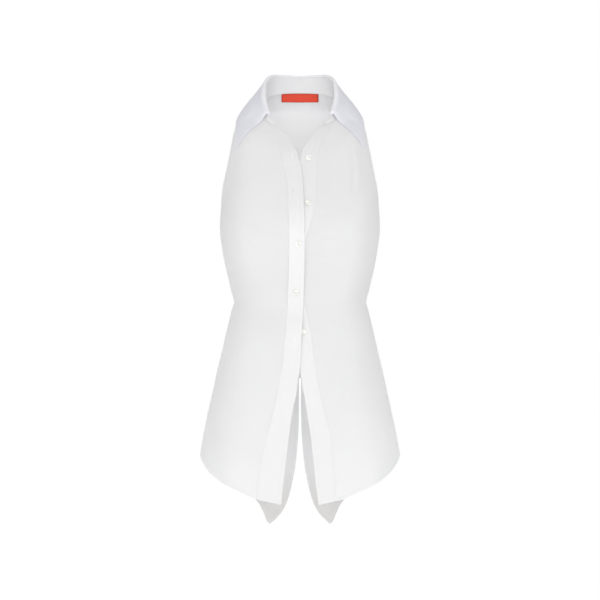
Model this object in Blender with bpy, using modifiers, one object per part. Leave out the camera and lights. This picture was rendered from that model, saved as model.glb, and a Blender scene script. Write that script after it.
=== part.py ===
"""A sleeveless, halter-cut shirt, filled out and hollow, with an open collar and two back tails.

The front faces -Y and the wearer's right is -X. The origin is on the neck's own axis, level with
the points where the shoulder seams reach the neck. Every table is in millimetres; the meshes are
in metres.

Places on the cloth are given as (down, round). Down counts the levels of FIGURE from the neck
seam to below the hem. Round goes about the body: 0 is the centre front, 1 the front corner, 2 the
side, 3 the back corner and 4 the centre back, negative on the wearer's right.
"""

import math
from collections import namedtuple

import bpy
import numpy as np
from mathutils import Vector

MM = 0.001
ACROSS = np.array([-1.0, 1.0, 1.0])
LEVEL_ONLY = np.array([1.0, 1.0, 0.0])

# Walls and the clearances between them
CLOTH = 1.2
BAND = 1.0
SEAM_GAP = 0.3

# The general figure that the shirt is filled out to. Each level is a ring about the body.
Level = namedtuple("Level", "name rows front front_corner side back_corner back crease")
FIGURE = (
    # name, mesh rows to the next level, front (y, z), front corner, side, back corner, back (y, z)
    Level("neck seam", 4, (-57, -66), (62, -40, -46.5), (69, 3, -3), (45, 50, 14), (64, 18), 0),
    Level("shoulder end", 7, (-78, -106), (90, -63, -78), (112, 5, -33), (80, 66, -26), (80, -27), 0),
    Level("upper armhole", 4, (-94, -150), (99, -83, -131), (134, 1, -88), (96, 81, -88), (97, -92), 0),
    Level("mid armhole", 4, (-107, -193), (106, -99, -178), (145, 0, -142), (104, 90, -150), (105, -155), 0),
    Level("underarm", 2, (-117, -224), (112, -110, -216), (148, 0, -196), (107, 91, -206), (106, -210), 0),
    Level("bust", 3, (-121, -252), (112, -115, -248), (150.5, 0, -240), (105, 88, -244), (102, -246), 0),
    Level("under bust", 2, (-113, -306), (105, -105, -306), (143, 0, -306), (99, 81, -306), (94, -306), 0),
    Level("above waist", 2, (-102, -352), (96, -93, -352), (132.5, 0, -352), (92, 75, -352), (87, -352), 0),
    Level("waist", 3, (-97, -388), (90, -87, -388), (125, 0, -388), (87, 73, -388), (84, -388), 1),
    Level("high hip", 3, (-105, -440), (98, -96, -440), (138, 0, -440), (95, 84, -440), (94, -440), 0),
    Level("hip", 3, (-117, -520), (112, -109, -520), (156.5, 0, -520), (108, 98, -520), (108, -520), 0),
    Level("thigh", 0, (-123, -600), (125, -115, -600), (174.5, 0, -600), (119, 105, -600), (114, -600), 0),
    Level("side hem", 0, (-125, -678), (136, -118, -678), (189, 0, -678), (128, 108, -678), (117, -678), 0),
    Level("lowest", 0, (-126, -830), (142, -118, -830), (204, 0, -830), (132, 107, -830), (116, -830), 0),
)
SIDE = 2.0
CENTRE_BACK = 4.0
FIRST_FLAT_LEVEL = 6
CREASE_SHARE = (0.25, 0.5, 1.0, 0.6, 0.3)
LEVELS_TO_HEM = 11
HEM_ROWS = 8

# The two front edges: height and x. Above the lowest point of the V they turn out to the collar.
RIGHT_FRONT_EDGE = (
    # height, x
    (-46, -55), (-51, -51), (-57, -44.5), (-63, -38.5), (-71, -31.5), (-80, -23.2), (-96, -12.8),
    (-106, -7.2), (-114, -4.4), (-121, -2.6), (-130, 0.0), (-142, 2.4), (-180, 6.4), (-256, 8.6),
    (-285, 8.6), (-370, 6.9), (-428, 4.4), (-465, 2.0), (-502, 0.6), (-526, -3.3), (-552, -6.8),
    (-582, -13.1), (-606, -17.3), (-630, -20.5), (-667, -25.0), (-704, -29.7), (-760, -35.0),
    (-830, -41.0),
)
LEFT_FRONT_EDGE = (
    # height, x
    (-44, 55.5), (-49, 50.5), (-60, 38), (-74, 26), (-89, 14), (-103, 5.4), (-113, 2.2),
    (-121, 0.2), (-129, -0.6), (-150, -0.6), (-200, -1.4), (-238, -9), (-275, -18),
    (-320, -21.5), (-367, -22), (-404, -16), (-440, -9), (-480, -3.5), (-511, 0.6),
    (-535, 3.7), (-563, 8.8), (-598, 14.4), (-624, 19.0), (-652, 22.5), (-688, 26.2),
    (-723, 29.7), (-760, 34.5), (-830, 41.0),
)
BAND_COLUMNS = 3
PANEL_COLUMNS = 11
RIGHT_BAND_WIDTH = (
    # height, width
    (0, 29.0), (-440, 29.0), (-540, 32.5), (-587, 34.0), (-632, 39.5), (-674, 44.5), (-758, 47.0),
)
LEFT_BAND_WIDTH = (
    # height, width
    (0, 29.0), (-440, 28.0), (-520, 27.0), (-565, 28.5), (-592, 31.5), (-630, 34.5), (-690, 34.5),
    (-758, 32.5),
)

# The right front lies over the left one. This is how far it stands off the figure there.
OVERLAP_LIFT = (
    # height, lift
    (-60, 0.0), (-85, 0.6), (-104, 2.6), (-112, 3.0), (-408, 3.0), (-430, 5.7), (-450, 5.7),
    (-474, 3.0), (-545, 3.0), (-640, 0.4), (-700, 0.0), (-830, 0.0),
)
FULL_LIFT_WIDTH = 42.0
LIFT_FADE_WIDTH = 50.0

# The hems: distance from the centre line, height
FRONT_HEM = (
    # x, height
    (35, -758.5), (57, -753.5), (80, -748), (102, -738.5), (126, -728), (150, -715),
    (170, -700), (182, -686), (189, -676),
)
BACK_HEM = (
    # x, height
    (58, -820.5), (64, -814.5), (71, -798), (80, -780.5), (94, -765), (109, -753),
    (133, -737), (158, -718), (176, -700), (184, -688), (189, -676),
)

# Back vent: height and the distance of its edge from the centre back
VENT_TOP = -534.0
VENT_NOTCH = 1.0
VENT_EDGE = (
    # height, x
    (-500, SEAM_GAP / 2), (VENT_TOP + VENT_NOTCH, SEAM_GAP / 2), (VENT_TOP - VENT_NOTCH, 2.6),
    (-573, 2.4), (-624, 3.0), (-669, 5.7), (-710, 10.2), (-737, 15.6), (-768, 23.0),
    (-788, 30.9), (-803, 40.8), (-815.5, 53.3), (-820.5, 58.0), (-830, 58.0),
)
BACK_COLUMNS = 11
BACK_CROWDING = 1.25

# Armholes: how far, in round, each panel is cut back from the side line at its deepest
ARMHOLE_TOP = 1.0
ARMHOLE_FOOT = 4.0
FRONT_ARMHOLE_DEPTH = 0.36
BACK_ARMHOLE_DEPTH = 0.92
ARMHOLE_FULLNESS = 0.62

# Collar, its left half: the stand rises from the neck seam to the fold, where the leaf turns over.
Station = namedtuple("Station", "name round top roll edge_down edge_round swell hollow run")
COLLAR = (
    # name, round, top of the stand, roll's radius, where the leaf's edge lies on the figure,
    # how far the leaf swells out near its edge, sinks in beside the roll and runs forward
    Station("centre back", 4.0, (0, 58, 45.5), 2.6, 0.74, 4.0, 1.0, 0.0, 0.0),
    Station("back", 3.5, (22, 54, 46.5), 2.6, 0.78, 3.5, 1.0, 0.0, 0.0),
    Station("back corner", 3.0, (42, 44, 46.5), 2.8, 0.86, 3.0, 1.0, 0.0, 0.0),
    Station("back shoulder", 2.5, (56.5, 24, 41), 3.0, 0.95, 2.5, 1.5, 0.5, 0.0),
    Station("shoulder", 2.0, (63.5, 3, 26), 3.4, 1.09, 2.0, 2.8, 2.0, 0.0),
    Station("front shoulder", 1.5, (64.5, -16, 2), 4.8, 1.30, 1.62, 3.2, 3.0, 0.0),
    Station("front corner", 1.2, (62, -29, -20), 6.4, 1.46, 1.48, 1.0, 3.5, 1.0),
    Station("leaf end", 1.0, (58.8, -35.5, -38), 7.2, 1.65, 1.34, 1.0, 3.0, 3.0),
    Station("stand end", 0.76, (47.6, -43.5, -49.5), 7.2, 1.65, 1.34, 1.0, 3.0, 3.0),
)
LEAF_END_ROUND = 1.0
LEAF_END_SLANT = 0.05
SLANTED_FROM = 1.5
STAND_LAP = 1.0
FOLD_GAP = 0.45
STAND_ROWS = 3
COLLAR_COLUMNS = 15
TONGUE_COLUMNS = 4
ROLL_STEPS = 4
ROLL_START = 1.0
LEAF_ROWS = 5
LEAF_CLEARANCE = 4.0
SWELL_PEAK = 6.75

# Buttons: name, x, height, and the layer each lies on
BUTTONS = (
    ("button_1", 16.4, -118.0, "left band"),
    ("button_2", 15.0, -204.0, "left band"),
    ("button_3", -3.0, -278.0, "right band"),
    ("button_4", -7.9, -367.0, "right band"),
    ("button_5", 6.3, -442.0, "left band"),
)
BUTTON_RADIUS = 5.5
BUTTON_THICKNESS = 2.2
BUTTON_RIM = 1.3
BUTTON_DISH = 0.5
BUTTON_SIDES = 18

# Label, sewn inside the back below the collar stand
LABEL_WIDTH = 71.0
LABEL_DEPTH = 17.0
LABEL_THICKNESS = 0.8
LABEL_DOWN = 0.04
LABEL_COLUMNS = 5
LABEL_ROWS = 2

# Points inside the shirt that its walls face away from
WAIST_CENTRE = (0.0, 0.0, -400.0)
NECK_CENTRE = (0.0, 0.0, -40.0)

COTTON = ("white_cotton", (0.84, 0.84, 0.86, 1.0), 0.85)
BAND_COTTON = ("doubled_cotton", (0.88, 0.88, 0.89, 1.0), 0.85)
PEARL = ("pearl_button", (0.86, 0.85, 0.80, 1.0), 0.25)
LABEL_WEAVE = ("orange_label", (0.58, 0.055, 0.035, 1.0), 0.7)


def hermite(start, end, leave, arrive, share):
    """A cubic from start to end at this share of the way, with those tangents."""
    square, cube = share**2, share**3
    return (
        start * (2 * cube - 3 * square + 1)
        + leave * (cube - 2 * square + share)
        + end * (3 * square - 2 * cube)
        + arrive * (cube - square)
    )


def smooth(table, at):
    """The value of a (place, value) table at these places, on a smooth curve without overshoot."""
    place, value = np.array(sorted(table), float).T
    at = np.clip(np.asarray(at, float), place[0], place[-1])
    steps = np.diff(value) / np.diff(place)
    slope = np.zeros_like(value)
    slope[0], slope[-1] = steps[0], steps[-1]
    same_way = steps[:-1] * steps[1:] > 0
    total = np.where(same_way, steps[:-1] + steps[1:], 1.0)
    slope[1:-1] = np.where(same_way, 2 * steps[:-1] * steps[1:] / total, 0.0)
    i = np.clip(np.searchsorted(place, at, side="right") - 1, 0, len(place) - 2)
    step = place[i + 1] - place[i]
    share = (at - place[i]) / step
    return hermite(value[i], value[i + 1], slope[i] * step, slope[i + 1] * step, share)


def unit(vectors):
    """Vectors at length 1."""
    return vectors / np.linalg.norm(vectors, axis=-1, keepdims=True)


def figure_cage():
    """The figure's points, level by level at the five stations, and their tangents down it."""
    cage = np.array([
        [(0, *level.front), level.front_corner, level.side, level.back_corner, (0, *level.back)]
        for level in FIGURE
    ], float)
    chord = np.diff(cage, axis=0)
    length = np.linalg.norm(chord, axis=2, keepdims=True)
    way = chord / length
    middle = (way[:-1] * length[1:] + way[1:] * length[:-1]) / (length[1:] + length[:-1])
    slope = np.concatenate([way[:1], middle, way[-1:]])
    crease = np.array([level.crease for level in FIGURE])[:, None, None]
    sharp = crease * np.array(CREASE_SHARE)[None, :, None]
    leave = slope[:-1] * (1 - sharp[:-1]) + way * sharp[:-1]
    arrive = slope[1:] * (1 - sharp[1:]) + way * sharp[1:]
    return cage, leave * length, arrive * length


CAGE, LEAVE, ARRIVE = figure_cage()


def figure(down, around):
    """Points of the figure at (down, round)."""
    down, around = np.broadcast_arrays(np.asarray(down, float), np.asarray(around, float))
    i = np.clip(np.floor(down).astype(int), 0, len(FIGURE) - 2)
    share = (down - i)[..., None, None]
    ring = hermite(CAGE[i], CAGE[i + 1], LEAVE[i], ARRIVE[i], share)
    before_front = ring[..., 1, :] * ACROSS
    past_back = ring[..., 3, :] * ACROSS
    points = np.concatenate(
        [before_front[..., None, :], ring, past_back[..., None, :]], axis=-2
    )
    j = np.clip(np.floor(np.abs(around)).astype(int), 0, 3)
    p = [np.take_along_axis(points, (j + k)[..., None, None], axis=-2)[..., 0, :] for k in range(4)]
    share = (np.abs(around) - j)[..., None]
    place = hermite(p[1], p[2], (p[2] - p[0]) / 2, (p[3] - p[1]) / 2, share)
    return np.where((around < 0)[..., None], place * ACROSS, place)


def figure_normal(down, around):
    """Unit normals that point out of the body."""
    small = 1e-3
    down, around = np.broadcast_arrays(np.asarray(down, float), np.asarray(around, float))
    along = figure(down, around + small) - figure(down, around - small)
    below = figure(down + small, around) - figure(np.maximum(down - small, 0), around)
    normal = unit(np.cross(along, below))
    out = figure(down, around) * LEVEL_ONLY
    return normal * np.sign((normal * out).sum(axis=-1, keepdims=True))


def off_figure(down, around, distance):
    """Points this far outside the figure."""
    distance = np.asarray(distance, float)[..., None]
    return figure(down, around) + figure_normal(down, around) * distance


def down_at(height):
    """Down, for a height below the bust, where the levels lie flat."""
    scale = np.linspace(FIRST_FLAT_LEVEL, len(FIGURE) - 1, 400)
    heights = figure(scale, 0.0)[..., 2]
    return np.interp(-np.asarray(height, float), -heights, scale)


def around_at_x(down, x_at, around):
    """Round, where the figure reaches x_at(height), searched from a first guess."""
    small = 1e-3
    for _ in range(40):
        place = figure(down, around)
        speed = (figure(down, around + small)[..., 0] - place[..., 0]) / small
        around = around + 0.6 * (x_at(place[..., 2]) - place[..., 0]) / speed
    return around


def speed_at(down, around):
    """Millimetres along the cloth for one unit of round."""
    small = 1e-3
    step = figure(down, around + small) - figure(down, around - small)
    return np.linalg.norm(step, axis=-1) / (2 * small)


def mesh_levels():
    """Down, for each row of a panel as far as the thigh, where the rows to the hem begin."""
    rows = []
    for i, level in enumerate(FIGURE[:LEVELS_TO_HEM]):
        rows += [i + k / level.rows for k in range(level.rows)]
    lowest_button = BUTTONS[-1][2]
    past_button = BUTTON_RADIUS + 3
    exact = down_at((
        lowest_button + past_button, lowest_button - past_button,
        VENT_TOP + VENT_NOTCH, VENT_TOP - VENT_NOTCH,
    ))
    clear = 0.12
    rows = [row for row in rows if np.abs(row - exact).min() > clear]
    return np.array(sorted([*rows, *exact, LEVELS_TO_HEM]), float)


def rows_to_hem(columns, around_at, hem):
    """Down, by row and column: the shared levels, then rows that close in on the hem."""
    levels = mesh_levels()
    last = np.full(columns, len(FIGURE) - 1.5)
    for _ in range(60):
        place = figure(last, np.diagonal(around_at(np.repeat(last[:, None], columns, axis=1))))
        last = last + 0.3 * (down_at(smooth(hem, np.abs(place[:, 0]))) - last)
    upper = np.repeat(levels[:, None], columns, axis=1)
    steps = np.sin(np.linspace(0, math.pi / 2, HEM_ROWS + 1)[1:, None])
    lower = levels[-1] + steps * (last[None, :] - levels[-1])
    return np.concatenate([upper, lower])


def armhole_cut(down, depth):
    """How far, in round, a panel stops short of the side line."""
    share = np.clip((down - ARMHOLE_TOP) / (ARMHOLE_FOOT - ARMHOLE_TOP), 0, 1)
    return depth * np.sin(math.pi * share) ** ARMHOLE_FULLNESS


def seam_share(down, around):
    """Half a seam's gap, in round."""
    return SEAM_GAP / 2 / speed_at(down, around)


def front_around(side, down):
    """Round, for each column of a front, its band's columns first."""
    edge = LEFT_FRONT_EDGE if side > 0 else RIGHT_FRONT_EDGE
    widths = LEFT_BAND_WIDTH if side > 0 else RIGHT_BAND_WIDTH
    inner = around_at_x(down, lambda height: smooth(edge, height), np.zeros_like(down))
    width = smooth(widths, figure(down, inner)[..., 2])
    band_edge = inner + side * width / speed_at(down, inner)
    outer = side * (SIDE - armhole_cut(down, FRONT_ARMHOLE_DEPTH) - seam_share(down, SIDE))
    over_band = np.concatenate([np.linspace(0, 1, BAND_COLUMNS + 1), np.ones(PANEL_COLUMNS)])
    past_band = np.concatenate([np.zeros(BAND_COLUMNS + 1), np.linspace(0, 1, PANEL_COLUMNS + 1)[1:]])
    return inner + (band_edge - inner) * over_band + (outer - band_edge) * past_band


def front_layout(side):
    """(down, round, distance from the front edge) for each point of a front."""
    columns = BAND_COLUMNS + PANEL_COLUMNS + 1
    down = rows_to_hem(columns, lambda at: front_around(side, at), FRONT_HEM)
    around = front_around(side, down)
    inner = around[:, :1]
    distance = np.abs(around - inner) * speed_at(down, inner)
    return down, around, distance


def overlap_lift(side, down, around, distance):
    """How far a front stands off the figure: the right one passes over the left one's band."""
    if side > 0:
        return np.zeros_like(distance)
    height = figure(down, around)[..., 2]
    fade = np.clip((distance - FULL_LIFT_WIDTH) / LIFT_FADE_WIDTH, 0, 1)
    return smooth(OVERLAP_LIFT, height) * (1 - fade * fade * (3 - 2 * fade))


def back_around(down):
    """Round, for each column of a back panel, from the centre back to the side."""
    height = figure(down, CENTRE_BACK)[..., 2]
    inner = CENTRE_BACK - smooth(VENT_EDGE, height) / speed_at(down, CENTRE_BACK - 0.1)
    outer = SIDE + armhole_cut(down, BACK_ARMHOLE_DEPTH) + seam_share(down, SIDE)
    return inner + (outer - inner) * np.linspace(0, 1, BACK_COLUMNS + 1) ** BACK_CROWDING


def back_layout(side):
    """(down, round) for each point of a back panel."""
    down = rows_to_hem(BACK_COLUMNS + 1, back_around, BACK_HEM)
    return down, side * back_around(down)


def material(name, colour, roughness):
    """The finish of a piece."""
    made = bpy.data.materials.get(name) or bpy.data.materials.new(name)
    made.use_nodes = True
    shader = made.node_tree.nodes["Principled BSDF"]
    shader.inputs["Base Color"].default_value = colour
    shader.inputs["Roughness"].default_value = roughness
    shader.inputs["Metallic"].default_value = 0.0
    return made


def add_piece(name, mesh, finish):
    """An object for the mesh, in the shirt's collection."""
    piece = bpy.data.objects.new(name, mesh)
    mesh.materials.append(material(*finish))
    bpy.data.collections["sleeveless_shirt"].objects.link(piece)
    return piece


def cloth(name, grid, thickness, finish, centre, mirrored=False):
    """A wall grown from a grid of points, in millimetres, away from this centre."""
    rows, columns = grid.shape[:2]
    corner = np.arange(rows * columns).reshape(rows, columns)
    quads = np.stack(
        [corner[:-1, :-1], corner[1:, :-1], corner[1:, 1:], corner[:-1, 1:]], axis=-1
    ).reshape(-1, 4)
    points = grid.reshape(-1, 3)
    normals = np.cross(
        points[quads[:, 2]] - points[quads[:, 0]], points[quads[:, 3]] - points[quads[:, 1]]
    )
    out = points[quads].mean(axis=1) - np.array(centre)
    if (normals * out).sum() < 0:
        quads = quads[:, ::-1]
    mesh = bpy.data.meshes.new(name)
    mesh.from_pydata((points * MM).tolist(), [], quads.tolist())
    mesh.validate()
    piece = add_piece(name, mesh, finish)
    if mirrored:
        halves = piece.modifiers.new("halves", "MIRROR")
        halves.merge_threshold = 0.0001
    wall = piece.modifiers.new("wall", "SOLIDIFY")
    wall.thickness = thickness * MM
    wall.offset = 1.0
    wall.use_rim = True
    mesh.shade_smooth()
    return piece


def make_front(side):
    """A front panel and the band along its edge."""
    name = "left" if side > 0 else "right"
    down, around, distance = front_layout(side)
    lift = overlap_lift(side, down, around, distance)
    cloth(f"front_{name}", off_figure(down, around, lift), CLOTH, COTTON, WAIST_CENTRE)
    strip = np.s_[:, : BAND_COLUMNS + 1]
    height = lift[strip] + CLOTH + SEAM_GAP
    band = off_figure(down[strip], around[strip], height)
    cloth(f"front_band_{name}", band, BAND, BAND_COTTON, WAIST_CENTRE)


def make_back(side):
    """A back panel, with its half of the vent and its pointed tail."""
    name = "left" if side > 0 else "right"
    down, around = back_layout(side)
    cloth(f"back_{name}", figure(down, around), CLOTH, COTTON, WAIST_CENTRE)


def at_station(column, around):
    """A column of the collar's table at these stations, even across the centre back."""
    table = [(station.round, getattr(station, column)) for station in COLLAR]
    beyond = [(2 * CENTRE_BACK - place, value) for place, value in table[1:]]
    return smooth(table + beyond, around)


def fold_line(around):
    """The top of the stand, where the leaf turns over."""
    place = []
    for axis, mirror in enumerate(ACROSS):
        table = [(station.round, station.top[axis]) for station in COLLAR]
        beyond = [(2 * CENTRE_BACK - at, mirror * value) for at, value in table[1:]]
        place.append(smooth(table + beyond, around))
    return np.stack(place, axis=-1)


def stand_foot(around):
    """The stand's lower edge, just inside the panels' top edge."""
    seam = figure(0.0, around)
    foot = seam - unit(seam * LEVEL_ONLY) * (SEAM_GAP + CLOTH)
    foot[:, 2] -= STAND_LAP
    return foot


def square_to(vectors, along):
    """Unit vectors with no part along these directions."""
    return unit(vectors - along * (vectors * along).sum(axis=-1, keepdims=True))


def fold_frame(around):
    """Points of the fold line, with the way out of the neck and the way over the fold there."""
    small = 0.01
    fold = fold_line(around)
    along = unit(fold_line(around + small) - fold_line(around - small))
    level = square_to(fold * LEVEL_ONLY, along)
    upright = np.cross(along, level)
    upright *= np.sign(upright[:, 2:])
    over = unit(upright + square_to(fold - stand_foot(around), along))
    out = np.cross(along, over)
    return fold, out * np.sign((out * level).sum(axis=-1, keepdims=True)), over


def slanted(around, share):
    """Round of the leaf's columns, this share of the way over the roll: its end is cut on a slant."""
    near_end = np.clip((SLANTED_FROM - around) / (SLANTED_FROM - LEAF_END_ROUND), 0, 1)
    return around + LEAF_END_SLANT * share * near_end**2 * (3 - 2 * near_end)


def rest_on_figure(points, clearance):
    """Moves points out, softly, so that none is nearer to the figure than the clearance."""
    softness = 1.0
    lowest_level = 2.6
    down, around = np.meshgrid(np.linspace(0, lowest_level, 90), np.linspace(0, CENTRE_BACK, 210))
    places = figure(down, around).reshape(-1, 3)
    normals = figure_normal(down, around).reshape(-1, 3)
    for row, point in enumerate(points):
        nearest = ((places - point) ** 2).sum(axis=-1).argmin()
        spare = ((point - places[nearest]) * normals[nearest]).sum() - clearance
        points[row] += normals[nearest] * (math.hypot(spare, softness) - spare) / 2
    return points


def make_stand():
    """The band that stands round the neck, tapered to a tongue at each front end."""
    end = COLLAR[-1].round
    around = np.concatenate([
        np.linspace(CENTRE_BACK, LEAF_END_ROUND, COLLAR_COLUMNS + 1),
        np.linspace(LEAF_END_ROUND, end, TONGUE_COLUMNS + 1)[1:],
    ])
    foot = stand_foot(around)
    top = fold_line(around)
    top -= unit(top - foot) * FOLD_GAP
    share = np.linspace(0, 1, STAND_ROWS + 1)[:, None, None]
    grid = foot + (top - foot) * share
    cloth("collar_stand", grid, CLOTH, COTTON, NECK_CENTRE, mirrored=True)


def make_leaf():
    """The collar that turns over the stand and lies on the shoulders, ending in two points."""
    around = np.linspace(CENTRE_BACK, LEAF_END_ROUND, COLLAR_COLUMNS + 1)
    radius, swell, hollow, run = (
        at_station(column, around)[:, None] for column in ("roll", "swell", "hollow", "run")
    )
    edge = off_figure(
        at_station("edge_down", around), at_station("edge_round", around), LEAF_CLEARANCE
    )
    fold, _, up = fold_frame(around)
    rows = [fold + up * FOLD_GAP]
    for share in np.linspace(0, 1, ROLL_STEPS + 1):
        place = slanted(around, share)
        fold, out, up = fold_frame(place)
        centre = fold + up * (FOLD_GAP + ROLL_START) + out * radius
        fall = edge - centre
        slope = np.arctan2((fall * out).sum(axis=-1), -(fall * up).sum(axis=-1))[:, None]
        sink = np.arctan(hollow * SWELL_PEAK / np.linalg.norm(fall, axis=-1, keepdims=True))
        angle = share * (math.pi - slope + sink)
        rows.append(centre + (up * np.sin(angle) - out * np.cos(angle)) * radius)
    start = rows[-1]
    proud = (out * np.cos(slope) + up * np.sin(slope)) * SWELL_PEAK
    ahead = unit(fold_line(place - 0.01) - fold_line(place + 0.01)) * run
    for share in np.linspace(0, 1, LEAF_ROWS + 1)[1:]:
        bow = proud * (swell * share - hollow * (1 - share)) + ahead * 4
        row = start + (edge - start) * share + bow * share * (1 - share)
        rows.append(rest_on_figure(row, LEAF_CLEARANCE))
    leaf = cloth("collar_leaf", np.stack(rows), CLOTH, COTTON, NECK_CENTRE, mirrored=True)
    leaf.modifiers["wall"].offset = -1.0


def button_mesh():
    """A turned shirt button, its back at z = 0 and its face up."""
    rim, dish = BUTTON_RADIUS - BUTTON_RIM, BUTTON_THICKNESS - BUTTON_DISH
    bevel = 0.4
    profile = (
        (0.0, dish), (rim - bevel, dish), (rim, BUTTON_THICKNESS),
        (BUTTON_RADIUS - bevel, BUTTON_THICKNESS), (BUTTON_RADIUS, BUTTON_THICKNESS - bevel),
        (BUTTON_RADIUS, bevel), (BUTTON_RADIUS - bevel, 0.0), (0.0, 0.0),
    )
    mesh = bpy.data.meshes.new("button")
    points = [(radius * MM, 0.0, height * MM) for radius, height in profile]
    mesh.from_pydata(points, [(k, k + 1) for k in range(len(points) - 1)], [])
    return mesh


def place_on_front(x, height):
    """(down, round) of a point of the fronts, by x and height."""
    down, around = np.array([3.0]), np.array([x / 110.0])
    small = 1e-3
    for _ in range(60):
        place = figure(down, around)
        fall = (figure(down + small, around)[..., 2] - place[..., 2]) / small
        reach = (figure(down, around + small)[..., 0] - place[..., 0]) / small
        down = down + 0.5 * (height - place[..., 2]) / fall
        around = around + 0.5 * (x - place[..., 0]) / reach
    return down, around


def make_buttons():
    """The buttons, each seated on the band that it shows on."""
    left_top = CLOTH + SEAM_GAP + BAND
    for name, x, height, layer in BUTTONS:
        down, around = place_on_front(x, height)
        under = left_top
        if layer == "right band":
            under += float(smooth(OVERLAP_LIFT, height))
        seat = off_figure(down, around, np.array([under + SEAM_GAP]))[0]
        button = add_piece(name, button_mesh(), PEARL)
        turned = button.modifiers.new("turned", "SCREW")
        turned.steps = turned.render_steps = BUTTON_SIDES
        turned.use_merge_vertices = True
        turned.merge_threshold = 0.00005
        turned.use_normal_calculate = True
        button.location = Vector(seat) * MM
        button.rotation_mode = "QUATERNION"
        normal = Vector(figure_normal(down, around)[0])
        button.rotation_quaternion = normal.to_track_quat("Z", "Y")
        button.data.shade_smooth()


def make_label():
    """The woven label, on the inside of the back."""
    fall = figure(LABEL_DOWN + 0.5, CENTRE_BACK) - figure(LABEL_DOWN, CENTRE_BACK)
    depth = LABEL_DEPTH / np.linalg.norm(fall) * 0.5
    x = np.linspace(0, LABEL_WIDTH / 2, LABEL_COLUMNS + 1)
    down = np.linspace(LABEL_DOWN, LABEL_DOWN + depth, LABEL_ROWS + 1)[:, None] + 0 * x
    around = around_at_x(down, lambda height: x, CENTRE_BACK - x / 50.0)
    grid = off_figure(down, around, np.full(down.shape, -SEAM_GAP - LABEL_THICKNESS))
    cloth("label", grid, LABEL_THICKNESS, LABEL_WEAVE, NECK_CENTRE, mirrored=True)


def main():
    for old in list(bpy.data.objects):
        bpy.data.objects.remove(old)
    shirt = bpy.data.collections.new("sleeveless_shirt")
    bpy.context.scene.collection.children.link(shirt)
    for side in (-1, 1):
        make_front(side)
        make_back(side)
    make_stand()
    make_leaf()
    make_buttons()
    make_label()


main()
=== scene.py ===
"""Looks of a sleeveless, halter-cut cotton shirt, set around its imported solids.

The front faces -Y and the wearer's right is -X. Tables are in millimetres, meshes in metres.
Places on the cloth are (down, round), as in the part's source: down counts the levels of FIGURE
from the neck seam, and round goes from 0, the centre front, through 2, the side, to 4, the centre
back, negative on the wearer's right.
"""

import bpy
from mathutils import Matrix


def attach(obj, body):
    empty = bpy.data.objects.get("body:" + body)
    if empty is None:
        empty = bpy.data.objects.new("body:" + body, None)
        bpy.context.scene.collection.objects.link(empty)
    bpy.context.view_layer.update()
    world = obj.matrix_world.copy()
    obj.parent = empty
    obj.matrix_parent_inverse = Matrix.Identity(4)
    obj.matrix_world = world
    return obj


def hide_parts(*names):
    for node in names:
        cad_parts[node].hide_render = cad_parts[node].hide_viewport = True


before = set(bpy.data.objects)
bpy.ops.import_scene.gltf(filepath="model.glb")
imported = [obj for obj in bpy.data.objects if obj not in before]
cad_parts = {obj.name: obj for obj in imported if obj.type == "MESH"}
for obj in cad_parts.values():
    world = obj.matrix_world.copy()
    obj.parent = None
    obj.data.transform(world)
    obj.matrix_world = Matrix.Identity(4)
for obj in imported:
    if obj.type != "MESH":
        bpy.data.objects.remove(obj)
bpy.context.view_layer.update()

import math
from collections import namedtuple

import bpy
import numpy as np
from mathutils import Matrix, Vector

MM = 0.001
ACROSS = np.array([-1.0, 1.0, 1.0])
LEVEL_ONLY = np.array([1.0, 1.0, 0.0])

# the solids' own sizes
CLOTH = 1.2
BAND = 1.0
SEAM_GAP = 0.3

Level = namedtuple("Level", "name front front_corner side back_corner back crease")
FIGURE = (
    # name, front (y, z), front corner, side, back corner, back (y, z)
    Level("neck seam", (-57, -66), (62, -40, -46.5), (69, 3, -3), (45, 50, 14), (64, 18), 0),
    Level("shoulder end", (-78, -106), (90, -63, -78), (112, 5, -33), (80, 66, -26), (80, -27), 0),
    Level("upper armhole", (-94, -150), (99, -83, -131), (134, 1, -88), (96, 81, -88), (97, -92), 0),
    Level("mid armhole", (-107, -193), (106, -99, -178), (145, 0, -142), (104, 90, -150), (105, -155), 0),
    Level("underarm", (-117, -224), (112, -110, -216), (148, 0, -196), (107, 91, -206), (106, -210), 0),
    Level("bust", (-121, -252), (112, -115, -248), (150.5, 0, -240), (105, 88, -244), (102, -246), 0),
    Level("under bust", (-113, -306), (105, -105, -306), (143, 0, -306), (99, 81, -306), (94, -306), 0),
    Level("above waist", (-102, -352), (96, -93, -352), (132.5, 0, -352), (92, 75, -352), (87, -352), 0),
    Level("waist", (-97, -388), (90, -87, -388), (125, 0, -388), (87, 73, -388), (84, -388), 1),
    Level("high hip", (-105, -440), (98, -96, -440), (138, 0, -440), (95, 84, -440), (94, -440), 0),
    Level("hip", (-117, -520), (112, -109, -520), (156.5, 0, -520), (108, 98, -520), (108, -520), 0),
    Level("thigh", (-123, -600), (125, -115, -600), (174.5, 0, -600), (119, 105, -600), (114, -600), 0),
    Level("side hem", (-125, -678), (136, -118, -678), (189, 0, -678), (128, 108, -678), (117, -678), 0),
    Level("lowest", (-126, -830), (142, -118, -830), (204, 0, -830), (132, 107, -830), (116, -830), 0),
)
SIDE = 2.0
CENTRE_BACK = 4.0
FIRST_FLAT_LEVEL = 6
CREASE_SHARE = (0.25, 0.5, 1.0, 0.6, 0.3)
LEVELS_TO_HEM = 11

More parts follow.
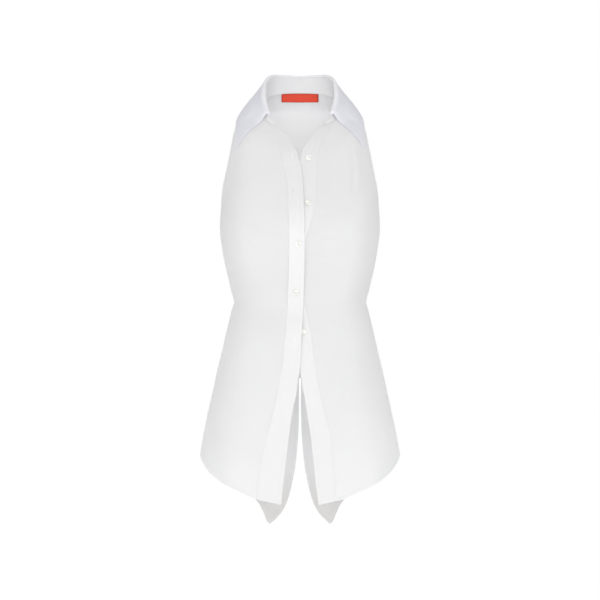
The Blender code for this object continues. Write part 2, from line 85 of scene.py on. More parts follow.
RIGHT_FRONT_EDGE = (
    # height, x
    (-46, -55), (-51, -51), (-57, -44.5), (-63, -38.5), (-71, -31.5), (-80, -23.2), (-96, -12.8),
    (-106, -7.2), (-114, -4.4), (-121, -2.6), (-130, 0.0), (-142, 2.4), (-180, 6.4), (-256, 8.6),
    (-285, 8.6), (-370, 6.9), (-428, 4.4), (-465, 2.0), (-502, 0.6), (-526, -3.3), (-552, -6.8),
    (-582, -13.1), (-606, -17.3), (-630, -20.5), (-667, -25.0), (-704, -29.7), (-760, -35.0),
    (-830, -41.0),
)
LEFT_FRONT_EDGE = (
    # height, x
    (-44, 55.5), (-49, 50.5), (-60, 38), (-74, 26), (-89, 14), (-103, 5.4), (-113, 2.2),
    (-121, 0.2), (-129, -0.6), (-150, -0.6), (-200, -1.4), (-238, -9), (-275, -18),
    (-320, -21.5), (-367, -22), (-404, -16), (-440, -9), (-480, -3.5), (-511, 0.6),
    (-535, 3.7), (-563, 8.8), (-598, 14.4), (-624, 19.0), (-652, 22.5), (-688, 26.2),
    (-723, 29.7), (-760, 34.5), (-830, 41.0),
)
RIGHT_BAND_WIDTH = (
    (0, 29.0), (-440, 29.0), (-540, 32.5), (-587, 34.0), (-632, 39.5), (-674, 44.5), (-758, 47.0),
)
LEFT_BAND_WIDTH = (
    (0, 29.0), (-440, 28.0), (-520, 27.0), (-565, 28.5), (-592, 31.5), (-630, 34.5), (-690, 34.5),
    (-758, 32.5),
)
OVERLAP_LIFT = (
    (-60, 0.0), (-85, 0.6), (-104, 2.6), (-112, 3.0), (-408, 3.0), (-430, 5.7), (-450, 5.7),
    (-474, 3.0), (-545, 3.0), (-640, 0.4), (-700, 0.0), (-830, 0.0),
)
FULL_LIFT_WIDTH = 42.0
LIFT_FADE_WIDTH = 50.0
FRONT_HEM = (
    # x, height
    (35, -758.5), (57, -753.5), (80, -748), (102, -738.5), (126, -728), (150, -715),
    (170, -700), (182, -686), (189, -676),
)
BACK_HEM = (
    # x, height
    (58, -820.5), (64, -814.5), (71, -798), (80, -780.5), (94, -765), (109, -753),
    (133, -737), (158, -718), (176, -700), (184, -688), (189, -676),
)
VENT_TOP = -534.0
VENT_NOTCH = 1.0
VENT_EDGE = (
    # height, x
    (-500, SEAM_GAP / 2), (VENT_TOP + VENT_NOTCH, SEAM_GAP / 2), (VENT_TOP - VENT_NOTCH, 2.6),
    (-573, 2.4), (-624, 3.0), (-669, 5.7), (-710, 10.2), (-737, 15.6), (-768, 23.0),
    (-788, 30.9), (-803, 40.8), (-815.5, 53.3), (-820.5, 58.0), (-830, 58.0),
)
ARMHOLE_TOP = 1.0
ARMHOLE_FOOT = 4.0
FRONT_ARMHOLE_DEPTH = 0.36
BACK_ARMHOLE_DEPTH = 0.92
ARMHOLE_FULLNESS = 0.62

Station = namedtuple("Station", "name round top roll edge_down edge_round swell hollow run")
COLLAR = (
    # name, round, top of the stand, roll's radius, where the leaf's edge lies on the figure,
    # how far the leaf swells out near its edge, sinks in beside the roll and runs forward
    Station("centre back", 4.0, (0, 58, 45.5), 2.6, 0.74, 4.0, 1.0, 0.0, 0.0),
    Station("back", 3.5, (22, 54, 46.5), 2.6, 0.78, 3.5, 1.0, 0.0, 0.0),
    Station("back corner", 3.0, (42, 44, 46.5), 2.8, 0.86, 3.0, 1.0, 0.0, 0.0),
    Station("back shoulder", 2.5, (56.5, 24, 41), 3.0, 0.95, 2.5, 1.5, 0.5, 0.0),
    Station("shoulder", 2.0, (63.5, 3, 26), 3.4, 1.09, 2.0, 2.8, 2.0, 0.0),
    Station("front shoulder", 1.5, (64.5, -16, 2), 4.8, 1.30, 1.62, 3.2, 3.0, 0.0),
    Station("front corner", 1.2, (62, -29, -20), 6.4, 1.46, 1.48, 1.0, 3.5, 1.0),
    Station("leaf end", 1.0, (58.8, -35.5, -38), 7.2, 1.65, 1.34, 1.0, 3.0, 3.0),
    Station("stand end", 0.76, (47.6, -43.5, -49.5), 7.2, 1.65, 1.34, 1.0, 3.0, 3.0),
)
LEAF_END_ROUND = 1.0
LEAF_END_SLANT = 0.05
SLANTED_FROM = 1.5
CLOSING = 0.06
CLOSED_SHARE = 0.3
STAND_LAP = 1.0
FOLD_GAP = 0.45
ROLL_START = 1.0
LEAF_CLEARANCE = 4.0
SWELL_PEAK = 6.75

BUTTONS = (
    # name, x, height, the layer each lies on, how far it is turned
    ("button_1", 16.4, -118.0, "left band", 20),
    ("button_2", 15.0, -204.0, "left band", -12),
    ("button_3", -3.0, -278.0, "right band", 35),
    ("button_4", -7.9, -367.0, "right band", 8),
    ("button_5", 6.3, -442.0, "left band", -28),
)
LABEL_WIDTH = 71.0
LABEL_DEPTH = 17.0
LABEL_DOWN = 0.04

# the fine surface's sizes: SEWN is the stitched row or column, counted from the last one, where a
# turned edge ends, and FIRST_SEWN the same from the first. FAR_OFF stands for no edge near.
FRONT_WALL = 0.6
BAND_WALL = 0.8
COLLAR_WALL = 0.9
ROW_LENGTH = 3.4
TURN = 8.0
STRIP = (8.0, 6.8, 6.0, 5.5, 5.0, 4.5, 4.0, 3.0, 1.8, 0.9, 0.35, 0.0)
SEWN = STRIP.index(5.0) - len(STRIP)
FIRST_SEWN = -SEWN - 1
FAR_OFF = 99.0
STITCH_PITCH = 2.9
BUTTONHOLES = (
    # x, height of its middle, length
    (-14.2, -117.0, 16.0), (-4.3, -200.0, 17.0), (-4.6, -279.5, 16.0), (-8.9, -370.0, 16.0),
    (-12.2, -459.0, 16.0),
)

NECK_CENTRE = (0.0, 0.0, -40.0)

# A record of what a piece was cut to before it was sewn: width, length and area in metres, one layer of
# it. No piece is given one here.
Cut = namedtuple("Cut", "piece held rests_on width length area")

# Folds and creases on each side of the shirt: start, middle and end as (across, height), half width,
# depth. Across is x on the front and back, y on the sides. A ridge has a positive depth.
CREASES = {
    "front": (
        # drag lines that meet at the third button
        ((4, -275), (32, -268), (66, -262), 6.5, -1.9),
        ((4, -281), (38, -292), (84, -312), 7.5, -1.8),
        ((16, -292), (42, -308), (62, -330), 10.0, 0.9),
        ((-8, -272), (-30, -258), (-58, -240), 8.0, -1.2),
        ((-10, -282), (-38, -290), (-70, -306), 9.0, -1.1),
        ((-6, -268), (-22, -240), (-34, -212), 8.0, 0.8),
        # under the bust
        ((26, -286), (68, -294), (108, -276), 15.0, -2.8),
        ((-28, -290), (-66, -298), (-106, -280), 15.0, -2.4),
        # below the collar's points
        ((95, -98), (104, -142), (96, -196), 5.0, -1.9),
        ((102, -106), (112, -150), (104, -190), 5.5, 1.2),
        ((-98, -104), (-100, -140), (-90, -182), 8.0, -1.0),
        ((-68, -92), (-50, -124), (-26, -148), 9.0, -0.9),
        ((72, -84), (52, -108), (30, -122), 8.0, -0.9),
        # short ones beside the bands
        ((-20, -166), (-15, -174), (-8, -184), 3.2, -1.5),
        ((-15, -190), (-13, -200), (-14, -212), 2.6, -1.0),
        ((-44, -440), (-30, -448), (-13, -456), 4.2, -1.7),
        ((-34, -462), (-22, -466), (-7, -458), 4.2, -0.9),
        ((14, -446), (34, -440), (58, -426), 6.0, -0.8),
        ((20, -210), (36, -222), (52, -228), 5.5, -0.8),
        # at the waist
        ((-112, -372), (-84, -392), (-50, -398), 7.0, -1.2),
        ((112, -368), (86, -392), (54, -404), 7.0, -1.2),
        ((-106, -410), (-82, -404), (-58, -412), 6.0, -0.8),
        ((104, -412), (80, -408), (60, -420), 6.0, -0.8),
        # long soft folds down the skirt
        ((-62, -420), (-70, -500), (-66, -590), 12.0, 1.3),
        ((-88, -452), (-104, -540), (-112, -640), 14.0, -1.4),
        ((62, -430), (72, -520), (74, -610), 12.0, -1.2),
        ((98, -596), (106, -636), (108, -676), 11.0, 1.5),
        ((118, -470), (132, -560), (140, -650), 13.0, -1.2),
        ((44, -560), (50, -640), (52, -716), 10.0, 0.9),
        ((-140, -520), (-150, -590), (-156, -660), 11.0, 1.0),
        # the bust's crown
        ((-84, -226), (-74, -238), (-64, -248), 15.0, 1.4),
        ((60, -222), (72, -232), (82, -236), 14.0, 1.2),
    ),
    "back": (
        ((-70, -60), (-44, -110), (-10, -142), 10.0, -1.2),
        ((66, -74), (46, -126), (12, -160), 11.0, -1.4),
        ((-88, -186), (-62, -226), (-22, -250), 12.0, -1.3),
        ((84, -206), (52, -236), (18, -246), 11.0, 0.9),
        ((-94, -330), (-60, -372), (-16, -384), 9.0, -1.5),
        ((90, -340), (64, -378), (20, -392), 9.0, -1.3),
        ((-80, -424), (-52, -404), (-14, -402), 7.0, -1.0),
        ((84, -420), (48, -404), (20, -410), 7.0, -1.0),
        ((-42, -440), (-52, -540), (-50, -660), 13.0, -1.6),
        ((30, -450), (38, -560), (46, -690), 12.0, 1.3),
        ((78, -470), (92, -570), (96, -690), 14.0, -1.4),
        ((-92, -480), (-104, -580), (-98, -700), 12.0, 1.2),
        ((-14, -470), (-20, -560), (-26, -640), 8.0, 0.9),
    ),
    "left": (
        ((-34, -352), (-10, -382), (26, -390), 8.0, -1.3),
        ((30, -350), (10, -374), (-24, -400), 9.0, -1.0),
        ((-18, -430), (-24, -520), (-12, -620), 12.0, -1.3),
        ((22, -440), (30, -530), (20, -630), 12.0, 1.1),
        ((-8, -226), (4, -270), (-4, -316), 10.0, -1.1),
    ),
    "right": (
        ((30, -356), (6, -384), (-28, -392), 8.0, -1.3),
        ((-30, -346), (-6, -376), (22, -402), 9.0, -1.0),
        ((14, -432), (22, -530), (12, -610), 12.0, -1.2),
        ((-24, -436), (-30, -520), (-22, -640), 12.0, 1.2),
        ((6, -228), (-6, -262), (2, -312), 10.0, -1.1),
    ),
}


# the figure's surface
# Each search takes this many steps, and each step closes this share of the error
EDGE_STEPS, EDGE_PACE = 40, 0.6
HEM_STEPS, HEM_PACE = 60, 0.3
PLACE_STEPS, PLACE_PACE = 60, 0.5
# Where a search on the fronts begins: down, and millimetres for one unit of round
GUESSED_DOWN, GUESSED_SPEED = 3.0, 110.0


def hermite(start, end, leave, arrive, share):
    """A cubic from start to end at this share of the way, with those tangents."""
    square, cube = share**2, share**3
    return (
        start * (2 * cube - 3 * square + 1)
        + leave * (cube - 2 * square + share)
        + end * (3 * square - 2 * cube)
        + arrive * (cube - square)
    )


def smooth(table, at):
    """The value of a (place, value) table at these places, on a smooth curve without overshoot."""
    place, value = np.array(sorted(table), float).T
    at = np.clip(np.asarray(at, float), place[0], place[-1])
    steps = np.diff(value) / np.diff(place)
    slope = np.zeros_like(value)
    slope[0], slope[-1] = steps[0], steps[-1]
    same_way = steps[:-1] * steps[1:] > 0
    total = np.where(same_way, steps[:-1] + steps[1:], 1.0)
    slope[1:-1] = np.where(same_way, 2 * steps[:-1] * steps[1:] / total, 0.0)
    i = np.clip(np.searchsorted(place, at, side="right") - 1, 0, len(place) - 2)
    step = place[i + 1] - place[i]
    share = (at - place[i]) / step
    return hermite(value[i], value[i + 1], slope[i] * step, slope[i + 1] * step, share)


def unit(vectors):
    """Vectors at length 1."""
    return vectors / np.linalg.norm(vectors, axis=-1, keepdims=True)


def ease(share):
    """From 0 to 1 with a soft start and end."""
    share = np.clip(share, 0.0, 1.0)
    return share * share * (3 - 2 * share)


def figure_cage():
    """The figure's points, level by level at the five stations, and their tangents down it."""
    cage = np.array([
        [(0, *level.front), level.front_corner, level.side, level.back_corner, (0, *level.back)]
        for level in FIGURE
    ], float)
    chord = np.diff(cage, axis=0)
    length = np.linalg.norm(chord, axis=2, keepdims=True)
    way = chord / length
    middle = (way[:-1] * length[1:] + way[1:] * length[:-1]) / (length[1:] + length[:-1])
    slope = np.concatenate([way[:1], middle, way[-1:]])
    crease = np.array([level.crease for level in FIGURE])[:, None, None]
    sharp = crease * np.array(CREASE_SHARE)[None, :, None]
    leave = slope[:-1] * (1 - sharp[:-1]) + way * sharp[:-1]
    arrive = slope[1:] * (1 - sharp[1:]) + way * sharp[1:]
    return cage, leave * length, arrive * length


CAGE, LEAVE, ARRIVE = figure_cage()


def figure(down, around):
    """Points of the figure at (down, round)."""
    down, around = np.broadcast_arrays(np.asarray(down, float), np.asarray(around, float))
    i = np.clip(np.floor(down).astype(int), 0, len(FIGURE) - 2)
    share = (down - i)[..., None, None]
    ring = hermite(CAGE[i], CAGE[i + 1], LEAVE[i], ARRIVE[i], share)
    before_front = ring[..., 1, :] * ACROSS
    past_back = ring[..., 3, :] * ACROSS
    points = np.concatenate(
        [before_front[..., None, :], ring, past_back[..., None, :]], axis=-2
    )
    j = np.clip(np.floor(np.abs(around)).astype(int), 0, 3)
    p = [np.take_along_axis(points, (j + k)[..., None, None], axis=-2)[..., 0, :] for k in range(4)]
    share = (np.abs(around) - j)[..., None]
    place = hermite(p[1], p[2], (p[2] - p[0]) / 2, (p[3] - p[1]) / 2, share)
    return np.where((around < 0)[..., None], place * ACROSS, place)


def figure_normal(down, around):
    """Unit normals that point out of the body."""
    small = 1e-3
    down, around = np.broadcast_arrays(np.asarray(down, float), np.asarray(around, float))
    along = figure(down, around + small) - figure(down, around - small)
    below = figure(down + small, around) - figure(np.maximum(down - small, 0), around)
    normal = unit(np.cross(along, below))
    out = figure(down, around) * LEVEL_ONLY
    return normal * np.sign((normal * out).sum(axis=-1, keepdims=True))


def off_figure(down, around, distance):
    """Points this far outside the figure."""
    distance = np.asarray(distance, float)[..., None]
    return figure(down, around) + figure_normal(down, around) * distance


def down_at(height):
    """Down, for a height below the bust, where the levels lie flat."""
    scale = np.linspace(FIRST_FLAT_LEVEL, len(FIGURE) - 1, 400)
    heights = figure(scale, 0.0)[..., 2]
    return np.interp(-np.asarray(height, float), -heights, scale)


def around_at_x(down, x_at, around):
    """Round, where the figure reaches x_at(height), searched from a first guess."""
    small = 1e-3
    for _ in range(EDGE_STEPS):
        place = figure(down, around)
        speed = (figure(down, around + small)[..., 0] - place[..., 0]) / small
        around = around + EDGE_PACE * (x_at(place[..., 2]) - place[..., 0]) / speed
    return around


def speed_at(down, around):
    """Millimetres along the cloth for one unit of round."""
    small = 1e-3
    step = figure(down, around + small) - figure(down, around - small)
    return np.linalg.norm(step, axis=-1) / (2 * small)


def armhole_cut(down, depth):
    """How far, in round, a panel stops short of the side line."""
    share = np.clip((down - ARMHOLE_TOP) / (ARMHOLE_FOOT - ARMHOLE_TOP), 0, 1)
    return depth * np.sin(math.pi * share) ** ARMHOLE_FULLNESS


# the panels' fine grids
def slant(down, edge_at):
    """The sine of the angle between an edge and the level lines, which widens a strip along it."""
    small = 0.02
    above, below = np.maximum(down - small, 0), down + small
    along = figure(below, edge_at(below)) - figure(above, edge_at(above))
    edge = edge_at(down)
    level = figure(down, edge + small) - figure(down, edge - small)
    return np.clip(np.linalg.norm(np.cross(unit(along), unit(level)), axis=-1), 0.4, 1.0)


def between(stops, place):
    """Round at these places: whole numbers are the stops, and what lies between is in proportion."""
    place = np.broadcast_to(place, stops[0].shape)
    i = np.clip(np.floor(place).astype(int), 0, len(stops) - 2)
    share = place - i
    return np.choose(i, stops[:-1]) * (1 - share) + np.choose(i, stops[1:]) * share


def front_edges(side, down):
    """Round of a front's edge, of its band's other edge, and of its armhole and side."""
    edge = LEFT_FRONT_EDGE if side > 0 else RIGHT_FRONT_EDGE
    widths = LEFT_BAND_WIDTH if side > 0 else RIGHT_BAND_WIDTH
    inner = around_at_x(down, lambda height: smooth(edge, height), np.zeros_like(down))
    width = smooth(widths, figure(down, inner)[..., 2])
    seam = inner + side * width / speed_at(down, inner)
    return inner, seam, outer_edge(side, down, -FRONT_ARMHOLE_DEPTH)


def outer_edge(side, down, depth):
    """Round of a panel's armhole edge, and of its side seam below it."""
    way = np.sign(depth)
    return side * (SIDE + way * (armhole_cut(down, abs(depth)) + SEAM_GAP / 2 / speed_at(down, SIDE)))


def front_around(side, down, place):
    """Round on a front: 0 its edge, 1 the band's other edge, 2 where its turned edge begins, 3 the end."""
    down, place = np.broadcast_arrays(down, place)
    inner, seam, outer = front_edges(side, down)
    widened = slant(down, lambda at: outer_edge(side, at, -FRONT_ARMHOLE_DEPTH))
    strip = outer - side * TURN / (speed_at(down, outer) * widened)
    return between([inner, seam, strip, outer], place)


def band_around(side, down, place):
    """Round on a band: 0 the front edge, 3 its other edge, with a turned strip along both."""
    down, place = np.broadcast_arrays(down, place)
    inner, seam, _ = front_edges(side, down)
    strip = side * TURN / speed_at(down, inner)
    return between([inner, inner + strip, seam - strip, seam], place)


def back_edge(down):
    """Round of the edge of the left back at the centre seam and the vent."""
    height = figure(down, CENTRE_BACK)[..., 2]
    return CENTRE_BACK - smooth(VENT_EDGE, height) / speed_at(down, CENTRE_BACK - 0.1)


def back_around(side, down, place):
    """Round on a back: 0 the centre, 1 and 2 where its turned edges end, 3 the armhole and side."""
    down, place = np.broadcast_arrays(down, place)
    inner = back_edge(down)
    outer = outer_edge(1, down, BACK_ARMHOLE_DEPTH)
    widened = slant(down, lambda at: outer_edge(1, at, BACK_ARMHOLE_DEPTH))
    start = inner - TURN / (speed_at(down, inner) * slant(down, back_edge))
    end = outer + TURN / (speed_at(down, outer) * widened)
    return side * between([inner, start, end, outer], place)


Panel = namedtuple("Panel", "down around to_hem points normals to_first to_last")
THIGH_TO_SIDE_HEM = 78


def to_last_row(shape):
    """How far a grid's rows lie from its last one, where that edge is turned."""
    distance = np.full(shape, FAR_OFF)
    distance[-len(STRIP):] = np.array(STRIP)[:, None]
    return distance


def panel(around_at, places, hem):
    """The grid of a panel at these places across it, from the neck seam to its hem."""
    last = np.full(len(places), len(FIGURE) - 1.5)
    for _ in range(HEM_STEPS):
        place = figure(last, around_at(last, places))
        last = last + HEM_PACE * (down_at(smooth(hem, np.abs(place[:, 0]))) - last)
    around = around_at(last, places)
    small = 1e-2
    fall = (figure(last, around) - figure(last - small, around)) / small
    along = np.gradient(figure(last, around), axis=0)
    straight = np.linalg.norm(np.cross(unit(fall), unit(along)), axis=-1)
    fall = np.linalg.norm(fall, axis=-1) * np.clip(straight, 0.5, 1.0)

    rows = []
    longest = np.linalg.norm(np.diff(CAGE, axis=0), axis=2).max(axis=1)
    for level in range(LEVELS_TO_HEM):
        count = int(round(longest[level] / ROW_LENGTH))
        rows += [level + k / count for k in range(count)]
    upper = np.repeat(np.array([*rows, LEVELS_TO_HEM], float)[:, None], len(places), axis=1)
    start = last - TURN / fall
    count = int(round((start.max() - LEVELS_TO_HEM) * THIGH_TO_SIDE_HEM / ROW_LENGTH))
    lower = LEVELS_TO_HEM + np.linspace(0, 1, count + 1)[1:, None] * (start - LEVELS_TO_HEM)
    strip = last - np.array(STRIP[1:])[:, None] / fall
    down = np.concatenate([upper, lower, strip])
    around = around_at(down, places[None, :])
    to_first = np.where(places < 1, TURN * places, FAR_OFF) + 0 * down
    to_last = np.where(places > 2, TURN * (3 - places), FAR_OFF) + 0 * down
    points, normals = figure(down, around), figure_normal(down, around)
    return Panel(down, around, to_last_row(down.shape), points, normals, to_first, to_last)


def turned_places(first, last, columns):
    """Places across a panel: evenly from first to last, then its turned edge."""
    middle = np.linspace(first, last, columns + 1)
    return np.concatenate([middle, last + 1 - np.array(STRIP[1:]) / TURN])


def turned_both_ways(columns):
    """The same with a turned edge before the first place too."""
    return np.concatenate([np.array(STRIP)[::-1] / TURN, turned_places(1, 2, columns)[1:]])


# creases and turned edges
# One side of the shirt gives way to the next over the depth FACE_EASE
FACE_EASE = 36.0
SIDE_FROM = 74.0
UNEVEN = (
    # height, and two crossing waves: how fast each runs along x, y and z, and where it starts
    (0.34, (0.043, 0.0, 0.021, 1.3), (0.0, 0.031, -0.027, math.pi / 2)),
    (0.22, (0.052, 0.0, 0.071, -0.6), (0.049, 0.064, 0.0, 0.4)),
)
SMOOTH_ABOVE, UNEVEN_BELOW = -40.0, -100.0
CREASE_POINTS = 28
CREASE_REACH = 3.0
CREASE_ENDS = 0.03
CREASE_TAPER = 0.8

# a turned edge: how much is added, how far from the edge, and over what width
HEM_SWELL = (0.16, 2.4, 1.7)
STITCH_GROOVE = (-0.26, 5.0, 0.55)
PUCKER = (0.07, 4.2, 3.4)
TURNED_UNDER, TURNED_TO, TURNED_EASE = 0.42, 5.6, 0.7
PUCKER_WAY = np.array([0.9, 0.7, 1.0])
PUCKER_WAVES = ((1.0, 0.62, 0.0), (0.6, 1.07, 0.8), (0.4, 0.29, 0.0))


def side_share(points, side):
    """How far points lie on one side of the shirt, from 0 to 1, and where across it they are."""
    if side in ("front", "back"):
        way = -1 if side == "front" else 1
        return ease(way * points[..., 1] / FACE_EASE), points[..., 0]
    way = 1 if side == "left" else -1
    return ease((way * points[..., 0] - SIDE_FROM) / FACE_EASE), points[..., 1]


def hump(distance, height, at, width):
    """A bell-shaped rise of this height, at a distance and with a half width."""
    return height * np.exp(-(((distance - at) / width) ** 2))


def relief(points):
    """How far the creases raise the cloth at these points."""
    z = points[..., 2]
    turn = lambda wave: np.sin(points @ np.array(wave[:3]) + wave[3])
    raised = sum(height * turn(first) * turn(second) for height, first, second in UNEVEN)
    raised *= ease((SMOOTH_ABOVE - z) / (SMOOTH_ABOVE - UNEVEN_BELOW))
    share = np.linspace(0, 1, CREASE_POINTS)
    for side, creases in CREASES.items():
        there, across = side_share(points, side)
        for *bend, width, depth in creases:
            start, middle, end = (np.array(place, float)[:, None] for place in bend)
            line = start * (1 - share) ** 2 + 2 * middle * share * (1 - share) + end * share**2
            reach = CREASE_REACH * width
            near = (
                (there > 0)
                & (across > line[0].min() - reach) & (across < line[0].max() + reach)
                & (z > line[1].min() - reach) & (z < line[1].max() + reach)
            )
            if not near.any():
                continue
            gap = (across[near, None] - line[0]) ** 2 + (z[near, None] - line[1]) ** 2
            along = CREASE_ENDS + share[gap.argmin(axis=-1)] * (1 - 2 * CREASE_ENDS)
            taper = np.sin(math.pi * along) ** CREASE_TAPER
            raised[near] += there[near] * depth * taper * np.exp(-gap.min(axis=-1) / width**2)
    return raised


def turned_edge(distance, finished):
    """What a stitched turned edge adds outside and inside, this far from the edge."""
    outside = hump(distance, *HEM_SWELL) + hump(distance, *STITCH_GROOVE)
    return finished * outside, finished * TURNED_UNDER * ease((TURNED_TO - distance) / TURNED_EASE)


def pucker(points, distance, finished):
    """The small ripples that a seam's thread draws up along a turned edge."""
    along = points @ PUCKER_WAY
    ripple = sum(height * np.sin(along * pace + start) for height, pace, start in PUCKER_WAVES)
    return finished * ripple * hump(distance, *PUCKER)


# materials
def new_material(name):
    made = bpy.data.materials.new(name)
    made.use_nodes = True
    return made, made.node_tree, made.node_tree.nodes["Principled BSDF"]


def connect(node, inputs):
    """Gives each of these inputs of a node its value, or links it to a socket."""
    for key, value in dict(inputs).items():
        if isinstance(value, bpy.types.NodeSocket):
            node.id_data.links.new(value, node.inputs[key])
        else:
            node.inputs[key].default_value = value


def add_node(tree, kind, inputs=(), **settings):
    made = tree.nodes.new(kind)
    for key, value in settings.items():
        setattr(made, key, value)
    connect(made, inputs)
    return made


def number(tree, operation, *values):
    """The result of a sum on these values."""
    return add_node(tree, "ShaderNodeMath", dict(enumerate(values)), operation=operation).outputs[0]


def noise(tree, place, scale, detail=2.0):
    made = add_node(tree, "ShaderNodeTexNoise", {"Vector": place, "Scale": scale, "Detail": detail})
    return made.outputs["Fac"]


def wave(tree, place, scale, direction, **more):
    made = add_node(
        tree, "ShaderNodeTexWave", {"Vector": place, "Scale": scale, **more}, bands_direction=direction
    )
    return made.outputs["Fac"]


def blend(tree, share, low, high):
    """The colour this share of the way from low to high."""
    low, high = (c if isinstance(c, bpy.types.NodeSocket) else (*c, 1.0) for c in (low, high))
    return add_node(tree, "ShaderNodeMix", {"Factor": share, 6: low, 7: high}, data_type="RGBA").outputs[2]


def raise_surface(tree, shader, height, strength, distance):
    """The fine relief of a material."""
    made = add_node(tree, "ShaderNodeBump", {"Height": height, "Strength": strength, "Distance": distance})
    connect(shader, {"Normal": made.outputs["Normal"]})


# A value that changes between two places, in metres: along the height or down the cloth
Ramp = namedtuple("Ramp", "along start end before after")


def ramped(tree, ramp, height, down):
    """The value of a ramp, or the plain number that stands in for one."""
    if not isinstance(ramp, Ramp):
        return ramp
    made = add_node(
        tree, "ShaderNodeMapRange",
        {
            "Value": height if ramp.along == "height" else down,
            "From Min": ramp.start, "From Max": ramp.end, "To Min": ramp.before, "To Max": ramp.after,
        },
        interpolation_type="SMOOTHSTEP",
    )
    return made.outputs[0]


def cotton(name, light, shade, sheer, painted_light_colour=None, painted_light_share=0.0):
    """White poplin: two even yarn directions, slightly cloudy, a little light passing through.

    sheer is how much passes through, and painted_light_share is how much of the cloth takes
    painted_light_colour, painted light or shade. Both are numbers or ramps.
    """
    made, tree, shader = new_material(name)
    place = add_node(tree, "ShaderNodeUVMap", uv_map="cloth").outputs["UV"]
    solid = add_node(tree, "ShaderNodeTexCoord").outputs["Object"]
    height = add_node(tree, "ShaderNodeSeparateXYZ", {"Vector": solid}).outputs["Z"]
    down = add_node(tree, "ShaderNodeSeparateXYZ", {"Vector": place}).outputs["Y"]
    slubs = []
    for scale in ((1500.0, 42.0, 1.0), (38.0, 1500.0, 1.0)):
        yarn = add_node(tree, "ShaderNodeMapping", {"Vector": place, "Scale": scale}).outputs["Vector"]
        slubs.append(noise(tree, yarn, 1.0))
    slub = number(tree, "ADD", *slubs)
    cloudy = number(tree, "MULTIPLY_ADD", slub, 0.34, noise(tree, solid, 11.0, 3.0))
    tone = add_node(tree, "ShaderNodeMapRange", {"Value": cloudy, "From Min": 0.55, "From Max": 1.15})
    colour = blend(tree, tone.outputs[0], shade, light)
    # painted light: a lighter or darker colour blended in over part of the cloth
    if painted_light_colour:
        colour = blend(tree, ramped(tree, painted_light_share, height, down), colour, painted_light_colour)
    weave = number(tree, "MULTIPLY", wave(tree, place, 620.0, "X"), wave(tree, place, 560.0, "Y"))
    raise_surface(tree, shader, number(tree, "MULTIPLY_ADD", slub, 0.6, weave), 0.35, 0.00012)
    connect(shader, {
        "Base Color": colour, "Roughness": 0.86, "Specular IOR Level": 0.25,
        "Sheen Weight": 0.06, "Sheen Roughness": 0.5,
    })
    through = add_node(tree, "ShaderNodeBsdfTranslucent", {"Color": colour})
    mixed = add_node(
        tree, "ShaderNodeMixShader",
        {"Fac": ramped(tree, sheer, height, down), 1: shader.outputs[0], 2: through.outputs[0]},
    )
    connect(tree.nodes["Material Output"], {"Surface": mixed.outputs[0]})
    return made


def thread_material():
    """Mercerised cotton thread, twisted."""
    made, tree, shader = new_material("white_thread")
    solid = add_node(tree, "ShaderNodeTexCoord").outputs["Object"]
    colour = blend(tree, noise(tree, solid, 160.0), (0.80, 0.80, 0.82), (0.90, 0.90, 0.91))
    raise_surface(tree, shader, wave(tree, solid, 900.0, "DIAGONAL"), 0.4, 0.0001)
    connect(shader, {"Base Color": colour, "Roughness": 0.55})
    return made


def pearl_material():
    """Pearl-white polyester: cloudy bands and a soft gloss."""
    made, tree, shader = new_material("pearl_button")
    solid = add_node(tree, "ShaderNodeTexCoord").outputs["Object"]
    bands = wave(
        tree, solid, 34.0, "DIAGONAL", **{"Distortion": 7.0, "Detail": 2.0, "Detail Scale": 1.6}
    )
    ramp = add_node(tree, "ShaderNodeValToRGB", {"Fac": bands})
    stops = ramp.color_ramp.elements
    stops[0].color = (0.76, 0.76, 0.71, 1.0)
    stops[1].color = (0.93, 0.93, 0.90, 1.0)
    stops.new(0.55).color = (0.86, 0.86, 0.82, 1.0)
    rough = add_node(tree, "ShaderNodeMapRange", {"Value": bands, "To Min": 0.30, "To Max": 0.42})
    connect(shader, {
        "Base Color": ramp.outputs["Color"], "Roughness": rough.outputs[0],
        "Coat Weight": 0.2, "Coat Roughness": 0.15,
    })
    return made


def label_material():
    """Satin-woven orange-red tape, darker along its edges and turned ends as painted shade."""
    made, tree, shader = new_material("orange_label")
    place = add_node(tree, "ShaderNodeUVMap", uv_map="cloth").outputs["UV"]
    field = blend(tree, noise(tree, place, 260.0, 3.0), (0.60, 0.056, 0.030), (0.74, 0.080, 0.044))
    apart = add_node(tree, "ShaderNodeSeparateXYZ", {"Vector": place})
    # painted shade along the tape's edges and turned ends
    edge_shades = []
    for axis, middle, shade_width in (("X", LABEL_WIDTH / 2, 1.6), ("Y", LABEL_DEPTH / 2, 1.1)):
        away = number(tree, "ABSOLUTE", number(tree, "SUBTRACT", apart.outputs[axis], middle * MM))
        start = (middle - shade_width) * MM
        edge = {"Value": away, "From Min": start, "From Max": start + 0.4 * MM}
        edge_shades.append(add_node(tree, "ShaderNodeMapRange", edge).outputs[0])
    colour = blend(tree, number(tree, "MAXIMUM", *edge_shades), field, (0.44, 0.036, 0.022))
    ribs = wave(tree, place, 520.0, "X")
    raised = number(tree, "MULTIPLY_ADD", wave(tree, place, 900.0, "Y"), 0.5, ribs)
    raise_surface(tree, shader, raised, 0.4, 0.00015)
    connect(shader, {"Base Color": colour, "Roughness": 0.6, "Specular IOR Level": 0.15})
    return made


# meshes
# A stitch's tip is (half length, height) and its rings are (place along it, radius), in units of STITCH,
# which is its length, width and height
RIM_FULLNESS = 0.42
STITCH = (2.1, 0.42, 0.34)
STITCH_SIDES = 6
STITCH_TIP = (0.5, -0.3)
STITCH_RINGS = ((-0.36, 0.38), (0.0, 0.5), (0.36, 0.38))
STITCH_LOOK_AHEAD = 0.6
STITCH_PROUD = 0.12


def add_object(name, data):
    made = bpy.data.objects.new(name, data)
    bpy.context.scene.collection.objects.link(made)
    return made


